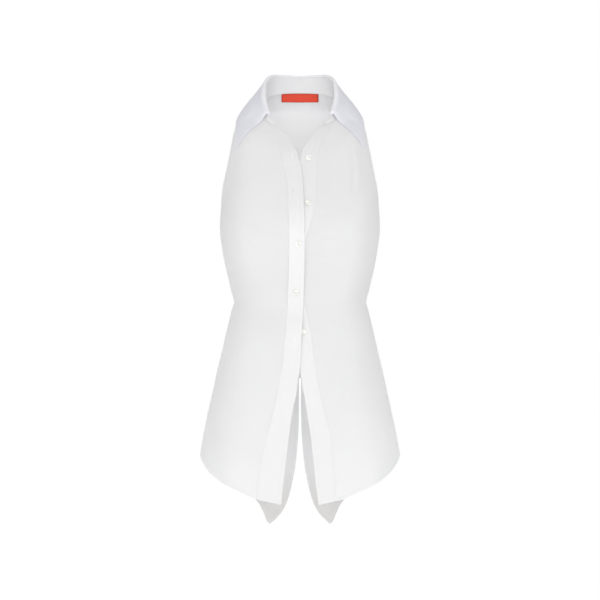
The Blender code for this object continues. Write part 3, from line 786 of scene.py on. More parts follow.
def add_piece(name, vertices, faces, finish, replaced=(), uv=None):
    """A smooth-shaded piece of the shirt, its vertices in millimetres."""
    mesh = bpy.data.meshes.new(name)
    mesh.from_pydata((np.asarray(vertices) * MM).tolist(), [], faces)
    mesh.validate()
    if uv is not None:
        layer = mesh.uv_layers.new(name="cloth")
        at = np.empty(len(mesh.loops), int)
        mesh.loops.foreach_get("vertex_index", at)
        layer.data.foreach_set("uv", (uv[at] * MM).astype(np.float32).ravel())
    mesh.shade_smooth()
    mesh.materials.append(finish)
    piece = add_object(name, mesh)
    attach(piece, "root")
    if replaced:
        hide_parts(*replaced)
    return piece


def grid_normals(grid, centre):
    """Unit normals of a grid of points, pointing away from a centre."""
    normal = unit(np.cross(np.gradient(grid, axis=0), np.gradient(grid, axis=1)))
    out = (normal * (grid - np.array(centre))).sum()
    return normal if out > 0 else -normal


def lengths(grid, axis):
    """Distance along a grid from its first row or column, in millimetres."""
    step = np.linalg.norm(np.diff(grid, axis=axis), axis=-1)
    total = np.cumsum(step, axis=axis)
    return np.concatenate([np.zeros_like(np.take(total, [0], axis=axis)), total], axis=axis)


def shell(name, grid, normals, inner, outer, finish, replaced):
    """A closed thin wall with rounded edges, between two distances from a grid.

    Its two faces come back with it, each as (points, normals).
    """
    rows, columns = grid.shape[:2]
    size = rows * columns
    outside = grid + normals * outer[..., None]
    inside = grid + normals * inner[..., None]
    corner = np.arange(size).reshape(rows, columns)
    quads = np.stack(
        [corner[:-1, :-1], corner[1:, :-1], corner[1:, 1:], corner[:-1, 1:]], axis=-1
    ).reshape(-1, 4)
    points = outside.reshape(-1, 3)
    face = np.cross(points[quads[:, 2]] - points[quads[:, 0]], points[quads[:, 3]] - points[quads[:, 1]])
    if (face * normals.reshape(-1, 3)[quads[:, 0]]).sum() < 0:
        quads = quads[:, ::-1]
    edge = np.concatenate(
        [corner[0, :-1], corner[:-1, -1], corner[-1, :0:-1], corner[:0:-1, 0]]
    )
    inward = np.zeros_like(grid)
    inward[0] += unit(grid[0] - grid[1])
    inward[-1] += unit(grid[-1] - grid[-2])
    inward[:, 0] += unit(grid[:, 0] - grid[:, 1])
    inward[:, -1] += unit(grid[:, -1] - grid[:, -2])
    middle = (outside + inside) / 2 + inward * ((outer - inner) * RIM_FULLNESS)[..., None]
    rim = middle.reshape(-1, 3)[edge]
    vertices = np.concatenate([points, inside.reshape(-1, 3), rim])
    ring = np.arange(len(edge)) + 2 * size
    onward = np.roll(np.arange(len(edge)), -1)
    out_to_rim = np.stack([edge, edge[onward], ring[onward], ring], axis=-1)
    rim_to_in = np.stack([ring, ring[onward], edge[onward] + size, edge + size], axis=-1)
    first = quads[0]
    used = {(int(first[k]), int(first[(k + 1) % 4])) for k in range(4)}
    if any((int(edge[k]), int(edge[onward[k]])) in used for k in range(len(edge))):
        out_to_rim, rim_to_in = out_to_rim[:, ::-1], rim_to_in[:, ::-1]
    faces = np.concatenate([quads, quads[:, ::-1] + size, out_to_rim, rim_to_in])
    flat = np.stack([lengths(grid, 1), lengths(grid, 0)], axis=-1).reshape(-1, 2)
    uv = np.concatenate([flat, flat, flat[edge]])
    piece = add_piece(name, vertices, faces.tolist(), finish, replaced, uv)
    return piece, (outside, normals), (inside, -normals)


def stitch_template():
    """One stitch: a bead along X, half a unit long each way and up to half a unit round."""
    tip, low = STITCH_TIP
    vertices = [(-tip, 0.0, low)]
    for x, radius in STITCH_RINGS:
        for k in range(STITCH_SIDES):
            angle = math.tau * k / STITCH_SIDES
            vertices.append((x, radius * math.cos(angle), radius * math.sin(angle)))
    vertices.append((tip, 0.0, low))
    faces = []
    for k in range(STITCH_SIDES):
        n = (k + 1) % STITCH_SIDES
        first, second, third = (1 + ring * STITCH_SIDES for ring in range(len(STITCH_RINGS)))
        faces.append((0, first + n, first + k))
        for a, b in ((first, second), (second, third)):
            faces.append((a + k, a + n, b + n, b + k))
        faces.append((third + k, third + n, len(vertices) - 1))
    return np.array(vertices), faces


def stitches(name, runs, finish, size=STITCH, pitch=STITCH_PITCH):
    """Rows of stitches along runs of (points, normals) that lie on the cloth."""
    shape, faces = stitch_template()
    vertices, polygons = [], []
    total = 0
    for points, normals in runs:
        step = np.linalg.norm(np.diff(points, axis=0), axis=-1)
        along = np.concatenate([[0.0], np.cumsum(step)])
        count = int(along[-1] // pitch)
        if count < 1:
            continue
        at = (np.arange(count) + 0.5) * along[-1] / count
        take = lambda table, where: np.stack(
            [np.interp(where, along, table[:, axis]) for axis in range(3)], axis=-1
        )
        centre, normal = take(points, at), unit(take(normals, at))
        forward = unit(take(points, at + STITCH_LOOK_AHEAD) - take(points, at - STITCH_LOOK_AHEAD))
        sideways = unit(np.cross(normal, forward))
        upward = np.cross(forward, sideways)
        local = shape * np.array(size)
        local[:, 2] += size[2] * STITCH_PROUD
        made = (
            centre[:, None] + local[None, :, :1] * forward[:, None]
            + local[None, :, 1:2] * sideways[:, None] + local[None, :, 2:] * upward[:, None]
        )
        vertices.append(made.reshape(-1, 3))
        for k in range(count):
            polygons += [[total + k * len(shape) + v for v in f] for f in faces]
        total += count * len(shape)
    return add_piece(name, np.concatenate(vertices), polygons, finish)


def line_of(face, rows, columns):
    """The points and normals of one row or column of a face."""
    points, normals = face
    return points[rows, columns], normals[rows, columns]


# the pieces of cloth
# ARMHOLE_EASE and SEAM_SHARE are parts of a level. A band is pulled in and thinned along its seam.
PANEL_COLUMNS, BAND_COLUMNS = 52, 9
ARMHOLE_EASE = 0.08
SEAM_SHARE = 0.05
VENT_EASE = 6.0
VENT_TACK, TAIL_ROWS = 4.0, 5
BAND_SEWN_TO, BAND_SEWN_EASE = 4.5, 4.0
BAND_PULLED_IN, BAND_THINNED = 0.75, 0.6
BAND_RELIEF, BAND_PUCKER = 0.8, 0.7
SKIN_GAP = 0.02


def overlap_lift(side, cloth):
    """How far a front stands off the figure: the right one passes over the left one's band."""
    edge = cloth.around[:, :1]
    distance = np.abs(cloth.around - edge) * speed_at(cloth.down, edge)
    if side > 0:
        return np.zeros_like(distance)
    height = cloth.points[..., 2]
    fade = (distance - FULL_LIFT_WIDTH) / LIFT_FADE_WIDTH
    return smooth(OVERLAP_LIFT, height) * (1 - ease(fade))


def armhole_share(down):
    """1 along an armhole and 0 along the seams above and below it."""
    return ease((down - ARMHOLE_TOP) / ARMHOLE_EASE) * ease((ARMHOLE_FOOT - down) / ARMHOLE_EASE)


def armhole_rows(cloth):
    """The rows of a panel that end at its armhole, a little off the seams."""
    end = cloth.down[:, -1]
    return np.nonzero((end > ARMHOLE_TOP + SEAM_SHARE) & (end < ARMHOLE_FOOT - SEAM_SHARE))[0]


def turn_edges(cloth, inner, outer, finished):
    """The two faces of a panel whose first edge, last edge and hem are turned this much."""
    for distance, share in zip((cloth.to_first, cloth.to_last, cloth.to_hem), finished):
        more_out, more_in = turned_edge(distance, share)
        ripple = pucker(cloth.points, distance, share)
        outer, inner = outer + more_out + ripple, inner - more_in + ripple
    return inner, outer


def make_front(side):
    """A front panel with its turned armhole and hem."""
    name = "left" if side > 0 else "right"
    places = np.concatenate([np.linspace(0, 1, BAND_COLUMNS), turned_places(1, 2, PANEL_COLUMNS)[1:]])
    cloth = panel(lambda down, place: front_around(side, down, place), places, FRONT_HEM)
    base = overlap_lift(side, cloth) + relief(cloth.points)
    outer = base + CLOTH
    inner, outer = turn_edges(cloth, outer - FRONT_WALL, outer, (0.0, armhole_share(cloth.down), 1.0))
    inner = np.maximum(inner, base + SKIN_GAP)
    piece, outside, _ = shell(
        f"front_{name}_cloth", cloth.points, cloth.normals, inner, outer, WHITE,
        [f"front_{name}"],
    )
    runs = [
        line_of(outside, armhole_rows(cloth), SEWN),
        line_of(outside, SEWN, np.s_[BAND_COLUMNS + 1:]),
    ]
    return piece, stitches(f"front_{name}_stitches", runs, THREAD)


def make_band(side):
    """The doubled band along a front's edge, stitched down along both sides."""
    name = "left" if side > 0 else "right"
    places = turned_both_ways(BAND_COLUMNS)
    cloth = panel(lambda down, place: band_around(side, down, place), places, FRONT_HEM)
    base = overlap_lift(side, cloth) + CLOTH + relief(cloth.points)
    sewn_down = ease((BAND_SEWN_TO - cloth.to_last) / BAND_SEWN_EASE)
    inner = base + SEAM_GAP * (1 - BAND_PULLED_IN * sewn_down)
    outer = inner + BAND_WALL * (1 - BAND_THINNED * sewn_down)
    for edge in (cloth.to_first, cloth.to_last, cloth.to_hem):
        more_out, _ = turned_edge(edge, 1.0)
        outer = outer + BAND_RELIEF * more_out + BAND_PUCKER * pucker(cloth.points, edge, 1.0)
    piece, outside, _ = shell(
        f"band_{name}", cloth.points, cloth.normals, inner, outer, DOUBLED,
        [f"front_band_{name}"],
    )
    runs = [line_of(outside, np.s_[1:-1], column) for column in (FIRST_SEWN, SEWN)]
    runs.append(line_of(outside, SEWN, np.s_[1:-1]))
    return piece, stitches(f"band_{name}_stitches", runs, THREAD)


def make_back(side):
    """A back panel, with its half of the vent and its pointed tail."""
    name = "left" if side > 0 else "right"
    places = turned_both_ways(PANEL_COLUMNS)
    cloth = panel(lambda down, place: back_around(side, down, place), places, BACK_HEM)
    vent = ease((VENT_TOP - cloth.points[..., 2]) / VENT_EASE)
    base = relief(cloth.points)
    outer = base + CLOTH
    inner, outer = turn_edges(cloth, outer - FRONT_WALL, outer, (vent, armhole_share(cloth.down), 1.0))
    inner = np.maximum(inner, base + SKIN_GAP)
    piece, outside, inside = shell(
        f"back_{name}_cloth", cloth.points, cloth.normals, inner, outer, BACK_PAINTED_SHADE_WHITE,
        [f"back_{name}"],
    )
    open_edge = np.nonzero(cloth.points[:, 0, 2] < VENT_TOP - VENT_TACK)[0][:-TAIL_ROWS]
    runs = [line_of(outside, armhole_rows(cloth), SEWN)]
    for face in (outside, inside):
        runs.append(line_of(face, open_edge, FIRST_SEWN))
        runs.append(line_of(face, SEWN, np.s_[FIRST_SEWN + 1:]))
    return piece, stitches(f"back_{name}_stitches", runs, THREAD)


# the collar
# The leaf lies above the level LOWEST_LEAF. LEAF_END sets out its last columns, close together where
# the roll closes, and RUN_SHARE turns a station's run into the bow of the leaf at its middle.
LOWEST_LEAF = 2.6
FOLD_STEP = 0.01
REST_SOFTNESS = 1.0
STAND_COLUMNS, STAND_END_COLUMNS, STAND_ROWS = 91, 16, 17
STAND_INSIDE, STAND_OUTSIDE = 0.06, CLOTH - 0.1
STAND_STITCH_ROW = 2
LEAF_COLUMNS, ROLL_ROWS, LEAF_ROWS = 86, 15, 21
LEAF_END = (0.0, 0.004, 0.010, 0.02, 0.032, 0.044, 0.055, 0.063, 0.072, 0.085)
LEAF_COLUMNS_TO = 1.1
LEAF_STITCH_COLUMN = 6
COVER_ABOVE, COVER_EASE = 4.0, 12.0
LEAF_RIDGE = 0.5
RUN_SHARE = 4.0


def across_the_back(values, around, mirror=1):
    """The stations' values at these places, carried on past the centre back."""
    table = list(zip((station.round for station in COLLAR), values))
    beyond = [(2 * CENTRE_BACK - place, mirror * value) for place, value in table[1:]]
    return smooth(table + beyond, around)


def at_station(column, around):
    """A column of the collar's table at these places."""
    return across_the_back([getattr(station, column) for station in COLLAR], around)


def fold_line(around):
    """The top of the stand, where the leaf turns over."""
    tops = zip(*(station.top for station in COLLAR))
    return np.stack([across_the_back(top, around, way) for top, way in zip(tops, ACROSS)], axis=-1)


def stand_foot(around):
    """The stand's lower edge, just inside the panels' top edge."""
    seam = figure(0.0, around)
    foot = seam - unit(seam * LEVEL_ONLY) * (SEAM_GAP + CLOTH)
    foot[:, 2] -= STAND_LAP
    return foot


def square_to(vectors, along):
    """Unit vectors with no part along these directions."""
    return unit(vectors - along * (vectors * along).sum(axis=-1, keepdims=True))


def fold_frame(around):
    """Points of the fold line, with the way out of the neck and the way over the fold there."""
    fold = fold_line(around)
    along = unit(fold_line(around + FOLD_STEP) - fold_line(around - FOLD_STEP))
    level = square_to(fold * LEVEL_ONLY, along)
    upright = np.cross(along, level)
    upright *= np.sign(upright[:, 2:])
    over = unit(upright + square_to(fold - stand_foot(around), along))
    out = np.cross(along, over)
    return fold, out * np.sign((out * level).sum(axis=-1, keepdims=True)), over


def slanted(around, share):
    """Round of the leaf's columns, this share of the way over the roll: its end is cut on a slant."""
    near_end = ease((SLANTED_FROM - around) / (SLANTED_FROM - LEAF_END_ROUND))
    return around + LEAF_END_SLANT * share * near_end


def rounded_end(around):
    """How much of the roll's radius is left near the leaf's end, where the roll closes."""
    share = np.clip((around - LEAF_END_ROUND) / CLOSING, 0.0, 1.0)
    return np.maximum(np.sqrt(1 - (1 - share) ** 2), CLOSED_SHARE)


NEAR_COLLAR = np.meshgrid(np.linspace(0, LOWEST_LEAF, 90), np.linspace(0, CENTRE_BACK, 210))
NEAR_PLACES = figure(*NEAR_COLLAR).reshape(-1, 3)
NEAR_NORMALS = figure_normal(*NEAR_COLLAR).reshape(-1, 3)


def rest_on_figure(points, clearance):
    """Moves points out, softly, so that none is nearer to the figure than the clearance."""
    for row, point in enumerate(points):
        nearest = ((NEAR_PLACES - point) ** 2).sum(axis=-1).argmin()
        spare = ((point - NEAR_PLACES[nearest]) * NEAR_NORMALS[nearest]).sum() - clearance
        points[row] += NEAR_NORMALS[nearest] * (math.hypot(spare, REST_SOFTNESS) - spare) / 2
    return points


def whole(half):
    """A grid and its mirror image, joined at the centre, which is its first column."""
    return np.concatenate([(half * ACROSS)[:, :0:-1], half], axis=1)


def make_stand():
    """The band that stands round the neck, tapered to a tongue at each front end."""
    end = COLLAR[-1].round
    around = np.concatenate([
        np.linspace(CENTRE_BACK, LEAF_END_ROUND, STAND_COLUMNS),
        np.linspace(LEAF_END_ROUND, end, STAND_END_COLUMNS)[1:],
    ])
    foot = stand_foot(around)
    top = fold_line(around)
    top -= unit(top - foot) * FOLD_GAP
    share = np.linspace(0, 1, STAND_ROWS)[:, None, None]
    grid = whole(foot + (top - foot) * share)
    normals = grid_normals(grid, NECK_CENTRE)
    inner, outer = (np.full(grid.shape[:2], face) for face in (STAND_INSIDE, STAND_OUTSIDE))
    piece, _, inside = shell(
        "collar_stand_cloth", grid, normals, inner, outer, STAND_WHITE, ["collar_stand"]
    )
    runs = [line_of(inside, STAND_STITCH_ROW, np.s_[2:-2])]
    return piece, stitches("collar_stand_stitches", runs, THREAD)


def make_leaf():
    """The collar that turns over the stand and lies on the shoulders, ending in two points."""
    around = np.concatenate([
        np.linspace(CENTRE_BACK, LEAF_COLUMNS_TO, LEAF_COLUMNS), LEAF_END_ROUND + np.array(LEAF_END)[::-1],
    ])
    radius, swell, hollow, run = (
        at_station(column, around)[:, None] for column in ("roll", "swell", "hollow", "run")
    )
    edge = off_figure(
        at_station("edge_down", around), at_station("edge_round", around), LEAF_CLEARANCE
    )
    closed = rounded_end(around)[:, None]
    fold, out, up = fold_frame(around)
    rows = [fold + up * FOLD_GAP + out * radius * (1 - closed)]
    for share in np.linspace(0, 1, ROLL_ROWS):
        place = slanted(around, share)
        fold, out, up = fold_frame(place)
        centre = fold + up * (FOLD_GAP + ROLL_START) + out * radius
        fall = edge - centre
        slope = np.arctan2((fall * out).sum(axis=-1), -(fall * up).sum(axis=-1))[:, None]
        sink = np.arctan(hollow * SWELL_PEAK / np.linalg.norm(fall, axis=-1, keepdims=True))
        angle = share * (math.pi - slope + sink)
        rows.append(centre + (up * np.sin(angle) - out * np.cos(angle)) * radius * closed)
    start = rows[-1]
    proud = (out * np.cos(slope) + up * np.sin(slope)) * SWELL_PEAK
    ahead = unit(fold_line(place - FOLD_STEP) - fold_line(place + FOLD_STEP)) * run
    long = np.linalg.norm(edge - start, axis=-1, keepdims=True)
    shares = [share * (1 - TURN / long) for share in np.linspace(0, 1, LEAF_ROWS)[1:]]
    shares += [1 - distance / long for distance in STRIP[1:]]
    for share in shares:
        bow = proud * (swell * share - hollow * (1 - share)) + ahead * RUN_SHARE
        row = start + (edge - start) * share + bow * share * (1 - share)
        rows.append(rest_on_figure(row, LEAF_CLEARANCE))
    half = np.stack(rows)
    grid = whole(half)
    normals = grid_normals(grid, NECK_CENTRE)
    to_end = lengths(half[:, ::-1], 1)[:, ::-1]
    more = sum(turned_edge(distance, 1.0)[0] for distance in (to_last_row(half.shape[:2]), to_end))
    more = more * ease((half[..., 2].max() + COVER_ABOVE - half[..., 2]) / COVER_EASE)
    raised = np.minimum(more, 0.0) + LEAF_RIDGE * np.maximum(more, 0.0)
    both = np.concatenate([raised[:, :0:-1], raised], axis=1)
    inner = np.full(grid.shape[:2], -COLLAR_WALL)
    piece, outside, _ = shell(
        "collar_leaf_cloth", grid, normals, inner, both, COLLAR_PAINTED_LIGHT_WHITE, ["collar_leaf"]
    )
    ends = (LEAF_STITCH_COLUMN, -1 - LEAF_STITCH_COLUMN)
    runs = [line_of(outside, SEWN, np.s_[ends[0]:ends[1] + 1])]
    runs += [line_of(outside, np.s_[ROLL_ROWS - 1:SEWN + 1], column) for column in ends]
    return piece, stitches("collar_leaf_stitches", runs, THREAD)


# buttons, buttonholes, label
BUTTON_PROFILE = (
    # radius, height
    (0.0, 1.45), (2.9, 1.5), (3.35, 1.62), (3.75, 1.95), (4.2, 2.17), (4.7, 2.2), (5.15, 2.05),
    (5.42, 1.7), (5.5, 1.25), (5.42, 0.75), (5.1, 0.3), (4.4, 0.06), (3.2, 0.0), (0.0, 0.0),
)
BUTTON_SIDES = 48
BUTTON_SHARP = math.radians(50)
HOLE_RADIUS, HOLE_RING = 0.62, 1.4
STRAND = (
    # share of its place aside, place between the holes, height
    (0.4, -1, 0.7), (0.7, -0.86, 1.5), (1, -0.4, 1.84), (1, 0, 1.9), (1, 0.4, 1.84), (0.7, 0.86, 1.5),
    (0.4, 1, 0.7),
)
STRAND_RADIUS, STRAND_SPACING = 0.16, 0.26

# a buttonhole's bars of stitches
BAR_APART, BAR_END = 0.95, 1.1
BAR_WIDTH, BAR_HEIGHT, BAR_RIDGE = 0.62, 0.30, 0.16
BAR_POINTS, BAR_SIDES = 92, 8

# the label: where its columns lie from the end, its rows' shares of its depth, and its relief
LABEL_COLUMNS = (*np.linspace(LABEL_WIDTH / 2, 5.0, 24), 4.2, 3.6, 3.0, 2.4, 1.8, 1.0, 0.4, 0.0)
LABEL_ROWS = (0, 0.025, 0.07, 0.12, *np.linspace(0.2, 0.8, 9), 0.88, 0.93, 0.975, 1.0)
LABEL_WALL, LABEL_OFF_BACK = 0.46, 0.14
LABEL_SELVEDGE = (0.09, 0.0, 0.09)
LABEL_END, LABEL_END_TO = 0.14, 4.6
LABEL_WAVE = (0.05, 0.9, 5.0)
LABEL_SPEED = 50.0
LABEL_STITCH_COLUMN = 26
LABEL_STITCH, LABEL_PITCH = (1.5, 0.36, 0.3), 2.0


def place_on_front(x, height):
    """(down, round) of points of the fronts, by x and height."""
    x, height = np.atleast_1d(np.asarray(x, float)), np.atleast_1d(np.asarray(height, float))
    down, around = np.full(x.shape, GUESSED_DOWN), x / GUESSED_SPEED
    small = 1e-3
    for _ in range(PLACE_STEPS):
        place = figure(down, around)
        fall = (figure(down + small, around)[..., 2] - place[..., 2]) / small
        reach = (figure(down, around + small)[..., 0] - place[..., 0]) / small
        down = down + PLACE_PACE * (height - place[..., 2]) / fall
        around = around + PLACE_PACE * (x - place[..., 0]) / reach
    return down, around


def finished_mesh(holder, finish):
    """The mesh that an object's modifiers or bevel make; the object itself goes."""
    made = bpy.data.meshes.new_from_object(holder.evaluated_get(bpy.context.evaluated_depsgraph_get()))
    bpy.data.objects.remove(holder)
    made.shade_smooth()
    made.materials.clear()
    made.materials.append(finish)
    return made


def button_mesh():
    """A turned four-hole shirt button with a rolled rim, its back at z = 0."""
    mesh = bpy.data.meshes.new("turned_button")
    mesh.from_pydata(
        [(radius * MM, 0.0, height * MM) for radius, height in BUTTON_PROFILE],
        [(k, k + 1) for k in range(len(BUTTON_PROFILE) - 1)], [],
    )
    body = add_object("turned_button", mesh)
    turned = body.modifiers.new("turned", "SCREW")
    turned.steps = turned.render_steps = BUTTON_SIDES
    turned.use_merge_vertices = True
    turned.merge_threshold = 0.02 * MM
    turned.use_normal_calculate = True
    drills = []
    for k in range(4):
        angle = math.pi / 4 + k * math.pi / 2
        bpy.ops.mesh.primitive_cylinder_add(
            vertices=16, radius=HOLE_RADIUS * MM, depth=6 * MM,
            location=(HOLE_RING * MM * math.cos(angle), HOLE_RING * MM * math.sin(angle), 1 * MM),
        )
        drills.append(bpy.context.object)
        cut = body.modifiers.new(f"hole_{k}", "BOOLEAN")
        cut.operation = "DIFFERENCE"
        cut.object = drills[-1]
        cut.solver = "EXACT"
    made = finished_mesh(body, PEARL)
    for drill in drills:
        bpy.data.objects.remove(drill)
    made.set_sharp_from_angle(angle=BUTTON_SHARP)
    return made


def thread_mesh():
    """The thread that holds a button: two bars between its holes, each of three strands."""
    curve = bpy.data.curves.new("button_thread", "CURVE")
    curve.dimensions = "3D"
    curve.bevel_depth = STRAND_RADIUS * MM
    curve.bevel_resolution = 1
    curve.use_fill_caps = True
    hole = HOLE_RING * math.cos(math.pi / 4)
    for x in (-hole, hole):
        for aside in (-STRAND_SPACING, 0.0, STRAND_SPACING):
            spline = curve.splines.new("POLY")
            spline.points.add(len(STRAND) - 1)
            for point, (spread, along, height) in zip(spline.points, STRAND):
                point.co = (*(Vector((x + aside * spread, hole * along, height)) * MM), 1.0)
    return finished_mesh(add_object("button_thread", curve), THREAD)


def make_buttons():
    """The buttons and their thread, each seated on the band that it shows on."""
    body, thread = button_mesh(), thread_mesh()
    for name, x, height, layer, turn in BUTTONS:
        down, around = place_on_front(x, height)
        under = CLOTH + SEAM_GAP + BAND
        if layer == "right band":
            under += float(smooth(OVERLAP_LIFT, height))
        raised = relief(figure(down, around))
        seat = off_figure(down, around, under + SEAM_GAP + raised)[0]
        normal = Vector(figure_normal(down, around)[0])
        facing = normal.to_track_quat("Z", "Y").to_matrix().to_4x4()
        spin = Matrix.Rotation(math.radians(turn), 4, "Z")
        place = Matrix.Translation(Vector(seat) * MM) @ facing @ spin
        for kind, mesh, slot in (("pearl", body, "button"), ("thread", thread, "cotton")):
            piece = add_object(f"{name}_{kind}", mesh.copy())
            piece.data.transform(place)
            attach(piece, "root")
            if kind == "pearl":
                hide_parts(name)


def make_buttonholes():
    """Upright buttonholes in the right band: a slit between two bars of close stitches."""
    for which, (x, middle, long) in enumerate(BUTTONHOLES, 1):
        half = long / 2 - BAR_END
        angle = np.linspace(0, math.tau, BAR_POINTS, endpoint=False)
        ring_x = BAR_APART * np.cos(angle)
        ring_z = BAR_APART * np.sin(angle) + np.where(np.sin(angle) > 0, half, -half)
        order = np.cumsum(np.hypot(np.diff(ring_x, append=ring_x[0]), np.diff(ring_z, append=ring_z[0])))
        even = np.linspace(0, order[-1], BAR_POINTS, endpoint=False)
        spread = lambda ring: np.interp(even, order, np.roll(ring, -1), period=order[-1])
        down, around = place_on_front(x + spread(ring_x), middle + spread(ring_z))
        place = figure(down, around)
        height = smooth(OVERLAP_LIFT, place[..., 2]) + CLOTH + SEAM_GAP + BAND_WALL + relief(place)
        centre = off_figure(down, around, height)
        normal = figure_normal(down, around)
        along = unit(np.roll(centre, -1, axis=0) - np.roll(centre, 1, axis=0))
        sideways = np.cross(normal, along)
        ridge = 1.0 + BAR_RIDGE * np.cos(np.arange(BAR_POINTS) * math.pi)[:, None]
        turns = np.arange(BAR_SIDES) * math.tau / BAR_SIDES
        wide, high = BAR_WIDTH * np.cos(turns), BAR_HEIGHT * np.sin(turns)
        tube = [centre + (sideways * w + normal * h) * ridge for w, h in zip(wide, high)]
        corner = np.arange(BAR_POINTS * BAR_SIDES).reshape(BAR_POINTS, BAR_SIDES)
        onward, beside = np.roll(corner, -1, axis=0), np.roll(corner, -1, axis=1)
        faces = np.stack([corner, onward, np.roll(onward, -1, axis=1), beside], axis=-1).reshape(-1, 4)
        vertices = np.stack(tube, axis=1).reshape(-1, 3)
        add_piece(f"buttonhole_{which}", vertices, faces.tolist(), THREAD)


def make_label():
    """The bare woven label, on the inside of the back, its ends turned under."""
    step = 0.5
    fall = figure(LABEL_DOWN + step, CENTRE_BACK) - figure(LABEL_DOWN, CENTRE_BACK)
    depth = LABEL_DEPTH / np.linalg.norm(fall) * step
    x = LABEL_WIDTH / 2 - np.array(LABEL_COLUMNS)
    share = np.array(LABEL_ROWS)[:, None]
    down = LABEL_DOWN + depth * share + 0 * x
    around = around_at_x(down, lambda height: x, CENTRE_BACK - x / LABEL_SPEED)
    grid = whole(figure(down, around))
    normals = grid_normals(grid, NECK_CENTRE)
    thick = (
        LABEL_WALL + hump(np.minimum(share, 1 - share), *LABEL_SELVEDGE)
        + LABEL_END * ease(LABEL_END_TO - (LABEL_WIDTH / 2 - x))
        + LABEL_WAVE[0] * np.sin(x * LABEL_WAVE[1]) * np.sin(share * LABEL_WAVE[2])
    )
    thick = np.concatenate([thick[:, :0:-1], thick], axis=1)
    base = relief(grid) - SEAM_GAP - LABEL_OFF_BACK
    piece, _, inside = shell("label_tape", grid, normals, base - thick, base, ORANGE, ["label"])
    middle = grid.shape[1] // 2
    runs = [line_of(inside, np.s_[1:-1], middle + way * LABEL_STITCH_COLUMN) for way in (1, -1)]
    return piece, stitches("label_stitches", runs, ORANGE, LABEL_STITCH, LABEL_PITCH)


# the shirt
WHITE = cotton(
    "white_poplin", (0.955, 0.955, 0.957), (0.925, 0.925, 0.928), Ramp("height", -0.24, -0.09, 0.55, 0.63)
)
# painted shade: the back is a little darker than the fronts, and darker still by height towards its tails'
# tips
BACK_PAINTED_SHADE_WHITE = cotton(
    "back_poplin_painted_shade", (0.93, 0.93, 0.935), (0.90, 0.90, 0.905), Ramp("height", -0.80, -0.70, 0.16, 0.42),
    (0.83, 0.82, 0.81), Ramp("height", -0.79, -0.70, 1.0, 0.0),
)
DOUBLED = cotton(
    "doubled_poplin", (0.88, 0.88, 0.88), (0.86, 0.86, 0.86), Ramp("height", -0.27, -0.15, 0.12, 0.24)
)
# painted light: the leaf is a darker, bluer copy of the white poplin as painted shade, with a painted
# highlight on the roll within 13 to 21 mm of the fold
COLLAR_PAINTED_LIGHT_WHITE = cotton(
    "collar_poplin_painted_light", (0.90, 0.90, 0.94), (0.86, 0.86, 0.91), 0.32,
    (0.965, 0.965, 0.985), Ramp("down", 0.013, 0.021, 1.0, 0.0),
)
STAND_WHITE = cotton("stand_poplin", (0.95, 0.95, 0.95), (0.92, 0.92, 0.925), 0.40)
THREAD = thread_material()
PEARL = pearl_material()
ORANGE = label_material()

sewn_pieces = [make(side) for side in (-1, 1) for make in (make_front, make_band, make_back)]
sewn_pieces += [make_stand(), make_leaf(), make_label()]
make_buttons()
make_buttonholes()

# floor, light and camera
CAMERA_PLACE = (0.0, -4.0, -0.382)
PHOTO_WIDTH = 1.14
SENSOR = 36.0
FLOOR_HEIGHT = -1.5
FLOOR_REACH = 30.0
FLOOR_GLOW = 0.38
PURE_WHITE = (1.0, 1.0, 1.0, 1.0)
PALE = (0.9, 0.9, 0.9, 1.0)
ROOM_AT_EYE_LEVEL, ROOM_OVERHEAD = 0.75, 0.66
LAMPS = (
    # name, place, what it faces, size, watts
    ("high_front_light", (0.0, -2.2, 0.3), (0.0, 0.0, -0.2), (1.2, 1.2), 17.0),
    ("neck_light", (0.0, 0.012, -0.012), (0.0, 0.07, -0.022), (0.105, 0.012), 0.0085),
)


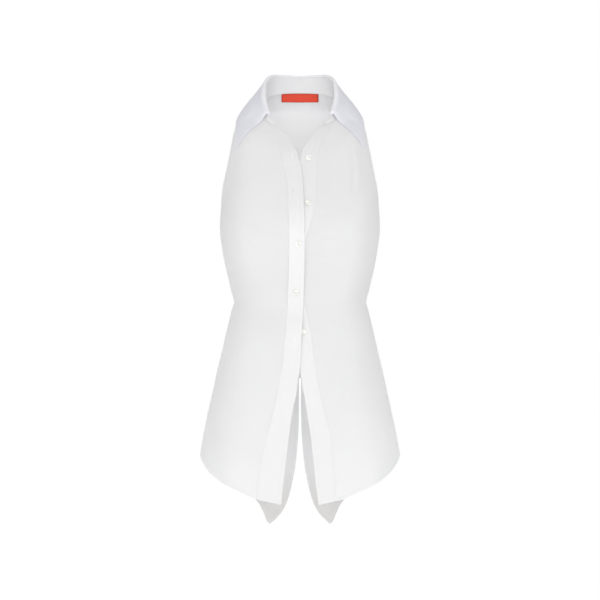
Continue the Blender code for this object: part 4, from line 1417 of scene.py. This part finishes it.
def set_camera():
    """The photograph's view, straight from the front."""
    camera = add_object("camera", bpy.data.cameras.new("camera"))
    camera.data.sensor_width = SENSOR
    camera.data.lens = SENSOR * -CAMERA_PLACE[1] / PHOTO_WIDTH
    camera.location = CAMERA_PLACE
    camera.rotation_euler = (math.radians(90), 0.0, 0.0)
    bpy.context.scene.camera = camera


def lay_floor():
    """A pale floor far below, which lights the shirt a little from underneath."""
    mesh = bpy.data.meshes.new("floor")
    corners = ((-1, -1), (1, -1), (1, 1), (-1, 1))
    points = [(x * FLOOR_REACH, y * FLOOR_REACH, FLOOR_HEIGHT) for x, y in corners]
    mesh.from_pydata(points, [], [(0, 1, 2, 3)])
    made, _, shader = new_material("pale_floor")
    connect(shader, {
        "Base Color": PALE, "Roughness": 0.9, "Emission Color": PURE_WHITE,
        "Emission Strength": FLOOR_GLOW,
    })
    mesh.materials.append(made)
    add_object("floor", mesh)


def light_room():
    """An even white room, pure white to the camera, and lamps that the camera doesn't see."""
    made = bpy.data.worlds.new("white_room")
    bpy.context.scene.world = made
    made.use_nodes = True
    tree = made.node_tree
    seen = tree.nodes["Background"]
    connect(seen, {"Color": PURE_WHITE, "Strength": 1.0})
    way = add_node(tree, "ShaderNodeTexCoord").outputs["Generated"]
    height = add_node(tree, "ShaderNodeSeparateXYZ", {"Vector": way}).outputs["Z"]
    strength = add_node(
        tree, "ShaderNodeMapRange", {"Value": height, "To Min": ROOM_AT_EYE_LEVEL, "To Max": ROOM_OVERHEAD}
    )
    soft = add_node(tree, "ShaderNodeBackground", {"Color": PURE_WHITE, "Strength": strength.outputs[0]})
    ray = add_node(tree, "ShaderNodeLightPath").outputs["Is Camera Ray"]
    mixed = add_node(tree, "ShaderNodeMixShader", {"Fac": ray, 1: soft.outputs[0], 2: seen.outputs[0]})
    connect(tree.nodes["World Output"], {"Surface": mixed.outputs[0]})
    for name, place, target, size, power in LAMPS:
        lamp = bpy.data.lights.new(name, "AREA")
        lamp.shape = "RECTANGLE"
        lamp.size, lamp.size_y = size
        lamp.energy = power
        made = add_object(name, lamp)
        made.location = place
        made.rotation_euler = (Vector(target) - Vector(place)).to_track_quat("-Z", "Y").to_euler()
        made.visible_camera = False


set_camera()
lay_floor()
light_room()

bpy.context.scene.view_settings.view_transform = "Standard"
